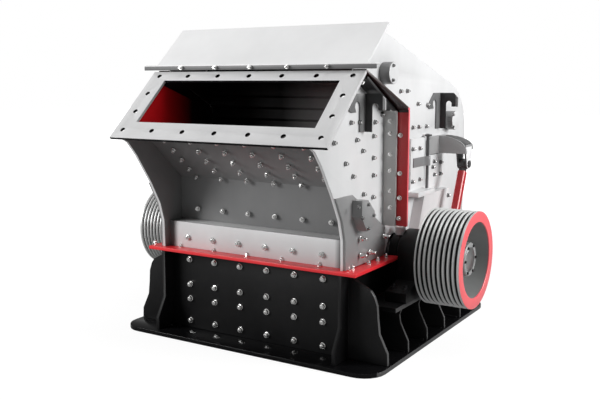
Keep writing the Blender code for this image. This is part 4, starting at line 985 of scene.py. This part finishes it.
@dataclass
class SealCovers:
    """Round covers over the shaft between the housing and the bearings, with the block on top of each.

    Attributes:
        radius: Radius of the cover.
        inside: Distance of the cover's inner end from the middle.
        bore: Radius of the hole for the shaft.
        edge: Height of the cover's chamfers and step.
        groove: Line of the groove round the cover, in front of the bearing and below the cover's face.
        ring: Radius of the bearing's end ring.
        ring_thick: Thickness of that ring.
        ring_edge: Bevel of that ring.
        lip: Line of the ring's lip, out from the ring and out from the bore.
        bolts: Radius of the ring's bolt circle.
        block: Place of the block: x, then y and z from the axis and the cover's top.
    """

    radius: float = 0.146
    inside: float = 0.786
    bore: float = 0.092
    edge: float = 0.004
    groove: tuple[Pair, ...] = ((0.030, 0.0), (0.027, 0.004), (0.020, 0.004), (0.017, 0.0))
    ring: float = 0.135
    ring_thick: float = 0.014
    ring_edge: float = 0.003
    lip: tuple[Pair, ...] = ((0.0, 0.012), (0.006, 0.008), (0.006, 0.0))
    bolts: float = 0.121
    block: Triple = (0.828, -0.030, -0.008)

    def build(self) -> None:
        """Makes the covers, the end rings of the bearings with their bolts, and the blocks."""
        low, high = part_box("bearing_housing_right")
        radius, bore, edge = self.radius, self.bore, self.edge
        cover = [(self.inside, bore), (self.inside, radius - edge), (self.inside + edge, radius),
                 *((low.x - ahead, radius - deep) for ahead, deep in self.groove),
                 (low.x + edge, radius), (low.x + edge, bore)]
        end = high.x + self.ring_thick
        ring = [(high.x - edge, bore), (high.x - edge, self.ring), (end - self.ring_edge, self.ring),
                (end, self.ring - self.ring_edge), *((end + out, bore + up) for out, up in self.lip)]
        covers = Surface.joined([lathe(cover), lathe(ring)]).mirrored()
        covers.piece("seal_covers", BLACK, Body.FRAME)
        places = circle(end - SUNK, self.bolts, 8, 0.5)
        COVER_BOLT.at(places, (1, 0, 0)).mirrored().piece("seal_cover_bolts", BLACK_BOLT, Body.FRAME)
        x, y, z = self.block
        top = np.array([[x, SHAFT[0] + y, SHAFT[1] + radius + z]])
        COVER_BLOCK.at(top, (0.0, -0.2, 1.0)).mirrored().piece("seal_cover_blocks", PALE, Body.FRAME)


@dataclass
class BaseDetails:
    """Weld beads of the flared ribs, bolts of the bearing feet and anchor bolts of the foot plate.

    Attributes:
        ribs: Place of the first rib and distance between two.
        rib_count: Number of ribs on a side.
        rib_half: Half a rib's thickness.
        wall_x: Distance of the base side's outer face from the middle.
        foot_x: Distance of the ribs' outer feet.
        plate_top: Top of the foot plate.
        bead_top: Top of an upright bead.
        bead_size: Radius and pitch of a bead.
        foot_bolts: Distances of a bearing's bolts from its middle, across and along the machine.
        foot_high: Height of the bearing's feet above its underside.
        anchor_x: Distance of the anchor bolts from the middle.
    """

    ribs: Pair = (-0.522, 0.324)
    rib_count: int = 5
    rib_half: float = 0.010
    wall_x: float = 0.760
    foot_x: float = 1.030
    plate_top: float = 0.0305
    bead_top: float = 0.325
    bead_size: Pair = (0.0055, 0.010)
    foot_bolts: Pair = (0.045, 0.30)
    foot_high: float = 0.070
    anchor_x: float = 0.945

    def beads(self) -> Surface:
        """Upright and level beads along both faces of every rib."""
        first, step = self.ribs
        gap, inset = 0.001, 0.012
        wall, floor = self.wall_x, self.plate_top
        seams = []
        for y in first + step * np.arange(self.rib_count):
            for face in (y - self.rib_half - gap, y + self.rib_half + gap):
                for path in (((wall + gap, face, floor + inset), (wall + gap, face, self.bead_top)),
                             ((wall + inset, face, floor + gap), (self.foot_x, face, floor + gap))):
                    seams.append(bead(*np.array(path), *self.bead_size))
        return Surface.joined(seams)

    def build(self) -> None:
        """Makes the beads and bolts on both sides."""
        self.beads().mirrored().piece("rib_welds", BLACK_WELD, Body.FRAME)
        low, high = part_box("bearing_housing_right")
        across, along = self.foot_bolts
        feet = np.array([[(low.x + high.x) / 2 + x, (low.y + high.y) / 2 + y, low.z + self.foot_high]
                         for y in (-along, along) for x in (-across, across)])
        FOOT_BOLT.at(feet, (0, 0, 1)).mirrored().piece("bearing_foot_bolts", BLACK_BOLT, Body.FRAME)
        bays = self.ribs[0] + self.ribs[1] * (np.arange(self.rib_count - 1) + 0.5)
        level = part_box("foot_plate")[1].z
        anchors = np.array([[self.anchor_x, y, level] for y in bays])
        ANCHOR.at(anchors, (0, 0, 1)).mirrored().piece("anchor_bolts", BLACK_BOLT, Body.FRAME)


@dataclass
class BackBolts:
    """Bolts of the rear wall and of the back cover.

    Attributes:
        wall_columns: Distances of the wall's columns from the middle.
        wall_rows: Heights of the wall's rows.
        cover_columns: Distances of the cover's columns from the middle.
        cover_rows: Heights of the cover's rows.
        wall_thick: Thickness of the wall.
    """

    wall_columns: tuple[float, ...] = (0.1138, 0.3413, 0.660)
    wall_rows: tuple[float, ...] = (0.361, 0.252, 0.085)
    cover_columns: tuple[float, ...] = (0.1138, 0.3413, 0.5689)
    cover_rows: tuple[float, ...] = (1.00, 1.18, 1.36, 1.54)
    wall_thick: float = 0.028

    def build(self) -> None:
        """Makes both groups; each bolt of the cover stands where a level ray from behind meets it."""
        mesh = frame["nodes"]["back_cover"].data
        faces = [tuple(face.vertices) for face in mesh.polygons]
        tree = BVHTree.FromPolygons([vertex.co for vertex in mesh.vertices], faces)
        rows = []
        for height in self.cover_rows:
            spot, normal, _, _ = tree.ray_cast(Vector((0.01, 4.0, height)), Vector((0.0, -1.0, 0.0)))
            seats = np.array([[column, spot.y, spot.z] for column in self.cover_columns])
            rows.append(Bolt().at(seats, tuple(normal)))
        Surface.joined(rows).mirrored().piece("back_cover_bolts", DARK_BOLT, Body.REAR)
        wall = upright_grid(self.wall_columns, self.wall_rows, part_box("rear_wall")[0].y + self.wall_thick)
        Bolt().at(wall, (0, 1, 0)).mirrored().piece("rear_wall_bolts", BOLT, Body.FRAME)


@dataclass
class FrontBolts:
    """Bolts of the base front, the lower panel, the hopper floor and the flanges.

    Attributes:
        columns: Distance of each column from the machine's middle.
        base_rows: Heights of the rows on the base's front wall.
        panel_row: Height of the row on the lower panel.
        upright_row: Height of the row on the hopper's upright plate.
        stud_rows: Distances of the stud rows down the hopper floor.
        hopper_start: y and z of the hopper floor's upper edge.
        hopper_bend: y and z of the bend to the upright plate.
        bar_drop: Distance of the top bar's bolts below its middle.
        bar_pixels: Pixels of the top bar's bolts.
        flange_pixels: Pixels of the bolts on the mid flange's front.
    """

    columns: tuple[float, ...] = (0.1138, 0.3413, 0.5689)
    base_rows: tuple[float, ...] = (0.548, 0.361, 0.252, 0.085)
    panel_row: float = 0.716
    upright_row: float = 0.912
    stud_rows: tuple[float, ...] = (0.177, 0.292, 0.407, 0.517, 0.622)
    hopper_start: Pair = (-1.221, 1.5725)
    hopper_bend: Pair = (-0.735, 1.147)
    bar_drop: float = 0.002
    bar_pixels: Pixels = ((181.6, 68.5), (215.5, 68.5), (250.2, 68.5), (287.4, 68.5), (327.3, 68.5))
    flange_pixels: Pixels = ((156.2, 243.0), (181.2, 246.7), (213.6, 251.3), (246.9, 255.9), (282.0, 260.6),
                             (319.0, 266.1), (349.0, 269.6))

    def build(self) -> None:
        """Makes each group as one piece."""
        half = np.array(self.columns)
        both = np.concatenate([-half[::-1], half])
        start, bend = np.array(self.hopper_start), np.array(self.hopper_bend)
        down = unit(bend - start)
        x, reach = np.meshgrid(both, np.array(self.stud_rows))
        line = start + reach.ravel()[:, None] * down
        slope = np.stack([x.ravel(), line[:, 0], line[:, 1]], -1)
        bar_low, bar_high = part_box("top_bar")
        bar = PHOTO.on_plane(self.bar_pixels, (0, bar_low.y, 0), (0, 1, 0))
        bar[:, 2] = (bar_low.z + bar_high.z) / 2 - self.bar_drop
        row = PHOTO.on_plane(self.flange_pixels, (0, 0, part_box("front_mid_flange")[1].z), (0, 0, 1))
        row[:, 1] = np.median(row[:, 1])
        wall = upright_grid(both, self.base_rows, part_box("front_wall")[0].y)
        panel = upright_grid(both, (self.panel_row,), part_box("lower_front_panel")[0].y)
        upright = upright_grid(both, (self.upright_row,), bend[0])
        front = (0, -1, 0)
        for name, bolt, places, out, body in (
                ("base_front_bolts", Bolt(), wall, front, Body.FRAME),
                ("lower_panel_bolts", Bolt(), panel, front, Body.FRAME),
                ("hopper_studs", STUD, slope, (0.0, down[1], -down[0]), Body.FRAME),
                ("hopper_upright_studs", STUD, upright, front, Body.FRAME),
                ("top_bar_bolts", BAR_BOLT, bar, front, Body.REAR),
                ("flange_front_studs", FLANGE_BOLT, row, (0, 0, 1), Body.FRAME)):
            bolt.at(places, out).piece(name, BOLT, body)


SIDE_PIXELS: dict[str, Pixels] = {  # pixels of the photograph where each group's bolts meet their face
    "front_side_bolts": (
        (350.5, 122.7), (358.9, 122.4), (374.4, 122.2), (373.0, 136.2), (356.1, 140.0), (333.2, 143.1),
        (362.1, 150.9), (372.7, 157.9), (344.9, 163.8), (352.3, 176.5), (372.7, 175.3), (362.8, 194.3),
        (372.2, 197.1), (381.5, 114.2), (376.3, 103.8)),
    "guard_bolts": ((357.9, 207.4), (368.1, 204.6), (373.3, 215.1), (362.1, 218.2), (367.7, 228.4)),
    "wear_plate_studs": ((359.3, 238.6), (359.3, 255.1), (368.4, 251.9), (382.5, 235.8)),
    "rear_side_bolts": (
        (400.1, 91.3), (406.7, 91.0), (417.4, 103.9), (426.8, 104.8), (412.2, 127.5), (418.2, 126.9),
        (425.7, 126.3)),
    "door_bolts": ((412.3, 149.2), (419.2, 148.3), (419.0, 179.4), (411.8, 181.8)),
    "arm_plate_bolts": ((433.5, 161.3), (440.0, 162.0), (432.1, 166.9), (433.7, 174.5), (439.5, 173.6)),
    "side_box_bolts": ((447.4, 195.2),),
    "cap_bolts": ((393.0, 65.5), (392.6, 80.1), (452.7, 114.7), (452.4, 126.7)),
    "channel_bolts": (
        (390.5, 120.9), (390.5, 133.5), (390.5, 154.2), (390.5, 170.6), (390.5, 190.9), (390.5, 207.3)),
    "split_flange_bolts": ((400.6, 135.2), (400.0, 173.4), (399.7, 197.9), (399.0, 218.4)),
    "flange_side_studs": ((352.5, 268.8), (368.8, 264.4), (378.0, 260.9), (386.2, 257.6)),
}
OUTWARD = ((1, 0, 0), (0, -1, 0), (0, 0, 1))  # where bolts stand out, by the axis of their face


@dataclass(frozen=True)
class BoltGroup:
    """Bolts of one kind on one flat face, placed by pixels of the photograph and mirrored.

    Attributes:
        name: Name of the piece, and of its pixels.
        body: Body that it rides on.
        axis: 0 for a face across X, 1 across Y, 2 across Z.
        level: Place of the face on that axis, in metres.
        bolt: The kind of bolt.
        finish: Its finish.
        left_body: Body of the left side's bolts, where it is another one.
        above: Distance over the nut from which the stud's end is bright zinc, partly as bare metal and
            partly as a painted highlight.
    """

    name: str
    body: Body
    axis: int
    level: float
    bolt: Bolt = PLAIN
    finish: Finish = DARK_BOLT
    left_body: Body | None = None
    above: float = 0.0005

    def build(self) -> None:
        """Makes the group's bolts on both sides, as one piece or as one for each body."""
        point, normal = np.zeros(3), np.zeros(3)
        point[self.axis] = self.level
        normal[self.axis] = 1.0
        places = PHOTO.on_plane(SIDE_PIXELS[self.name], tuple(point), tuple(normal))
        right = self.bolt.at(places, OUTWARD[self.axis])
        if self.left_body is None:
            made = [right.mirrored().piece(self.name, self.finish, self.body)]
        else:
            made = [right.piece(self.name + "_right", self.finish, self.body),
                    right.twin().piece(self.name + "_left", self.finish, self.left_body)]
        # Painted highlight, on top of the bare metal: the studs' ends beyond the nuts get the bright zinc
        # finish.
        if self.axis == 0:
            nut_top = self.level + self.bolt.shank + self.bolt.washer_high + self.bolt.high
            for piece in made:
                Accent((), BOLT, beyond=nut_top + self.above).dress(piece.data)


@dataclass
class SideBolts:
    """Bolts on the side plates, flanges, doors and caps, and the seal in the sloped joint.

    Attributes:
        plate_off: Distance of the side plates' outer face from the liner.
        wear: Thickness of the wear plate and the arm plate.
        door: Distance of the door's face from the side plate's.
        box_x: Place of the side box's face.
        web: Distance of the channel's web behind the split flange.
        lip: Distance of the rear split flange's face from the front one's.
        slope: y and z of the sloped joint's lower and upper end.
        slope_pixels: Pixels of the bolts under the sloped flanges.
        slope_lift: Distance of each of them from the joint.
        seal: Radius and pitch of the joint seal's bead.
        seal_x: Distance of the seal from the middle.
        seal_back: Distance of the seal behind the joint's middle.
        seal_inset: Distance of its ends from the joint's ends.
    """

    plate_off: float = 0.0203
    wear: float = 0.016
    door: float = 0.020
    box_x: float = 0.840
    web: float = 0.020
    lip: float = 0.006
    slope: tuple[Pair, Pair] = ((-0.337, 1.650), (-0.837, 1.909))
    slope_pixels: Pixels = ((363.3, 80.4), (392.0, 107.0))
    slope_lift: tuple[float, ...] = (0.020, 0.0)
    seal: Pair = (0.0024, 0.02)
    seal_x: float = 0.750
    seal_back: float = 0.002
    seal_inset: float = 0.010

    def groups(self) -> list[BoltGroup]:
        """Every group with its face."""
        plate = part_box("inlet_liner_right")[1].x + self.plate_off
        guard, cap = (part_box(name)[1].x for name in ("front_side_right", "front_apron_shaft"))
        flange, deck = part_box("front_split_flange_right")[1].y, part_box("front_mid_flange")[1].z
        return [
            BoltGroup("front_side_bolts", Body.FRAME, 0, plate),
            BoltGroup("guard_bolts", Body.FRAME, 0, guard, SMALL),
            BoltGroup("wear_plate_studs", Body.FRAME, 0, plate + self.wear, LONG, BOLT),
            BoltGroup("rear_side_bolts", Body.REAR, 0, plate),
            BoltGroup("door_bolts", Body.DOOR_RIGHT, 0, plate + self.door, left_body=Body.DOOR_LEFT),
            BoltGroup("arm_plate_bolts", Body.REAR, 0, plate + self.wear),
            BoltGroup("side_box_bolts", Body.REAR, 0, self.box_x),
            BoltGroup("cap_bolts", Body.REAR, 0, cap, SMALL),
            BoltGroup("channel_bolts", Body.FRAME, 1, flange - self.web, PLAIN, BOLT),
            BoltGroup("split_flange_bolts", Body.REAR, 1, flange + self.lip, PLAIN, BOLT),
            BoltGroup("flange_side_studs", Body.FRAME, 2, deck, PLAIN, BOLT),
        ]

    def sloped(self) -> None:
        """Makes the bolts under the sloped flanges and the black seal in the joint.

        The joint runs from slope[0] to slope[1] in (y, z). Its normal points down and to the front.
        """
        low, high = np.array(self.slope)
        run = unit(high - low)
        normal = np.array([0.0, -run[1], run[0]])
        sets = []
        for pixel, lift in zip(self.slope_pixels, self.slope_lift):
            point = np.array([0.0, *low]) + normal * lift
            sets.append(PLAIN.at(PHOTO.on_plane((pixel,), tuple(point), tuple(normal)), tuple(normal)))
        Surface.joined(sets).mirrored().piece("slope_bolts", BOLT, Body.FRAME)
        shift, inset = -normal[1:] * self.seal_back, run * self.seal_inset
        ends = np.array([[self.seal_x, *(low + shift + inset)], [self.seal_x, *(high + shift - inset)]])
        bead(*ends, *self.seal).mirrored().piece("joint_seals", BLACK_WELD, Body.FRAME)

    def build(self) -> None:
        """Makes each group and the sloped joint's pieces."""
        for group in self.groups():
            group.build()
        self.sloped()


@dataclass(frozen=True)
class Lamp:
    """Square area lamp that faces the machine.

    Attributes:
        name: Name of the lamp.
        place: Where it stands.
        size: Side of its square.
        power: Power in watts.
    """

    name: str
    place: Triple
    size: float
    power: float

    def make(self, target: Triple) -> None:
        """Makes the lamp and turns it to a target."""
        data = bpy.data.lights.new(self.name, "AREA")
        data.size = self.size
        data.energy = self.power
        lamp = bpy.data.objects.new(self.name, data)
        lamp.location = self.place
        aim = Vector(target) - Vector(self.place)
        lamp.rotation_euler = aim.to_track_quat("-Z", "Y").to_euler()
        bpy.context.scene.collection.objects.link(lamp)


@dataclass
class Studio:
    """Floor, lamps and white surroundings.

    Attributes:
        floor_size: Half the floor's side.
        floor_drop: How far the floor lies below the foot plate.
        floor_color: Linear base colour of the floor.
        floor_light: Share of white light by distance in tens of metres.
        floor_glow: Strength of that light.
        target: Point that the lamps face.
        lamps: The lamps.
        ambient: Level of the surroundings as a light.
        mirrored: Level of the surroundings in reflections.
    """

    floor_size: float = 40.0
    floor_drop: float = 0.001
    floor_color: Triple = (0.40, 0.40, 0.40)
    floor_light: tuple[Pair, Pair] = ((0.25, 0.60), (0.9, 1.0))
    floor_glow: float = 1.5
    target: Triple = (0.0, 0.0, 1.1)
    lamps: tuple[Lamp, ...] = (
        Lamp("front", (-7.9, -7.9, 4.4), 4.4, 980.0),
        Lamp("top", (0.6, -0.6, 7.0), 3.5, 108.0),
        Lamp("side", (5.4, 1.0, 3.0), 2.4, 250.0),
    )
    ambient: float = 0.16
    mirrored: float = 0.32

    def build(self) -> None:
        """Makes the floor, the lamps and the surroundings."""
        self._floor()
        for lamp in self.lamps:
            lamp.make(self.target)
        self._world()

    def _floor(self) -> None:
        """Pale floor that keeps the machine's shadow, and turns to plain white farther out."""
        half = self.floor_size
        corners = [(x, y, -self.floor_drop) for y in (-half, half) for x in (-half, half)]
        mesh = bpy.data.meshes.new("floor")
        mesh.from_pydata(corners, [], [(0, 1, 3, 2)])
        floor = bpy.data.objects.new("floor", mesh)
        bpy.context.scene.collection.objects.link(floor)
        material = bpy.data.materials.new("floor_white")
        nodes = Nodes(material)
        for name, value in (("Base Color", shade(self.floor_color, 1.0)), ("Roughness", 0.9),
                            ("Specular IOR Level", 0.0)):
            nodes.feed(nodes.shader.inputs[name], value)
        away = nodes.add("ShaderNodeVectorMath", {0: nodes.place}, operation="LENGTH")
        share = nodes.ramp(Wire(nodes, away.outputs["Value"]) * 0.1, self.floor_light)
        glow = nodes.add("ShaderNodeEmission", {"Color": (1.0, 1.0, 1.0, 1.0), "Strength": self.floor_glow})
        seen = nodes.read("ShaderNodeLightPath", "Is Camera Ray") * share
        blend = nodes.add("ShaderNodeMixShader", {0: seen, 1: nodes.shader.outputs[0], 2: glow.outputs[0]})
        nodes.feed(nodes.tree.nodes["Material Output"].inputs["Surface"], blend.outputs[0])
        mesh.materials.append(material)

    def _world(self) -> None:
        """White for the camera, dimmer in reflections and as a light."""
        world = bpy.data.worlds.new("studio")
        bpy.context.scene.world = world
        nodes = Nodes(world, "Background")
        glossy = nodes.read("ShaderNodeLightPath", "Is Glossy Ray")
        level = (glossy * (self.mirrored - self.ambient) + self.ambient).at_least(
            nodes.read("ShaderNodeLightPath", "Is Camera Ray"))
        nodes.feed(nodes.shader.inputs["Color"], (1.0, 1.0, 1.0, 1.0))
        nodes.feed(nodes.shader.inputs["Strength"], level)


def main() -> None:
    """Builds the camera, the studio and every piece."""
    logging.basicConfig(level=logging.INFO)
    bpy.context.scene.view_settings.view_transform = "Standard"
    PHOTO.make()
    for part in (Studio, SoftenedPlates, Pulleys, SealCovers, BaseDetails, BackBolts, FrontBolts, SideBolts):
        LOG.info("building %s", part.__name__)
        part().build()


if __name__ == "__main__":
    main()
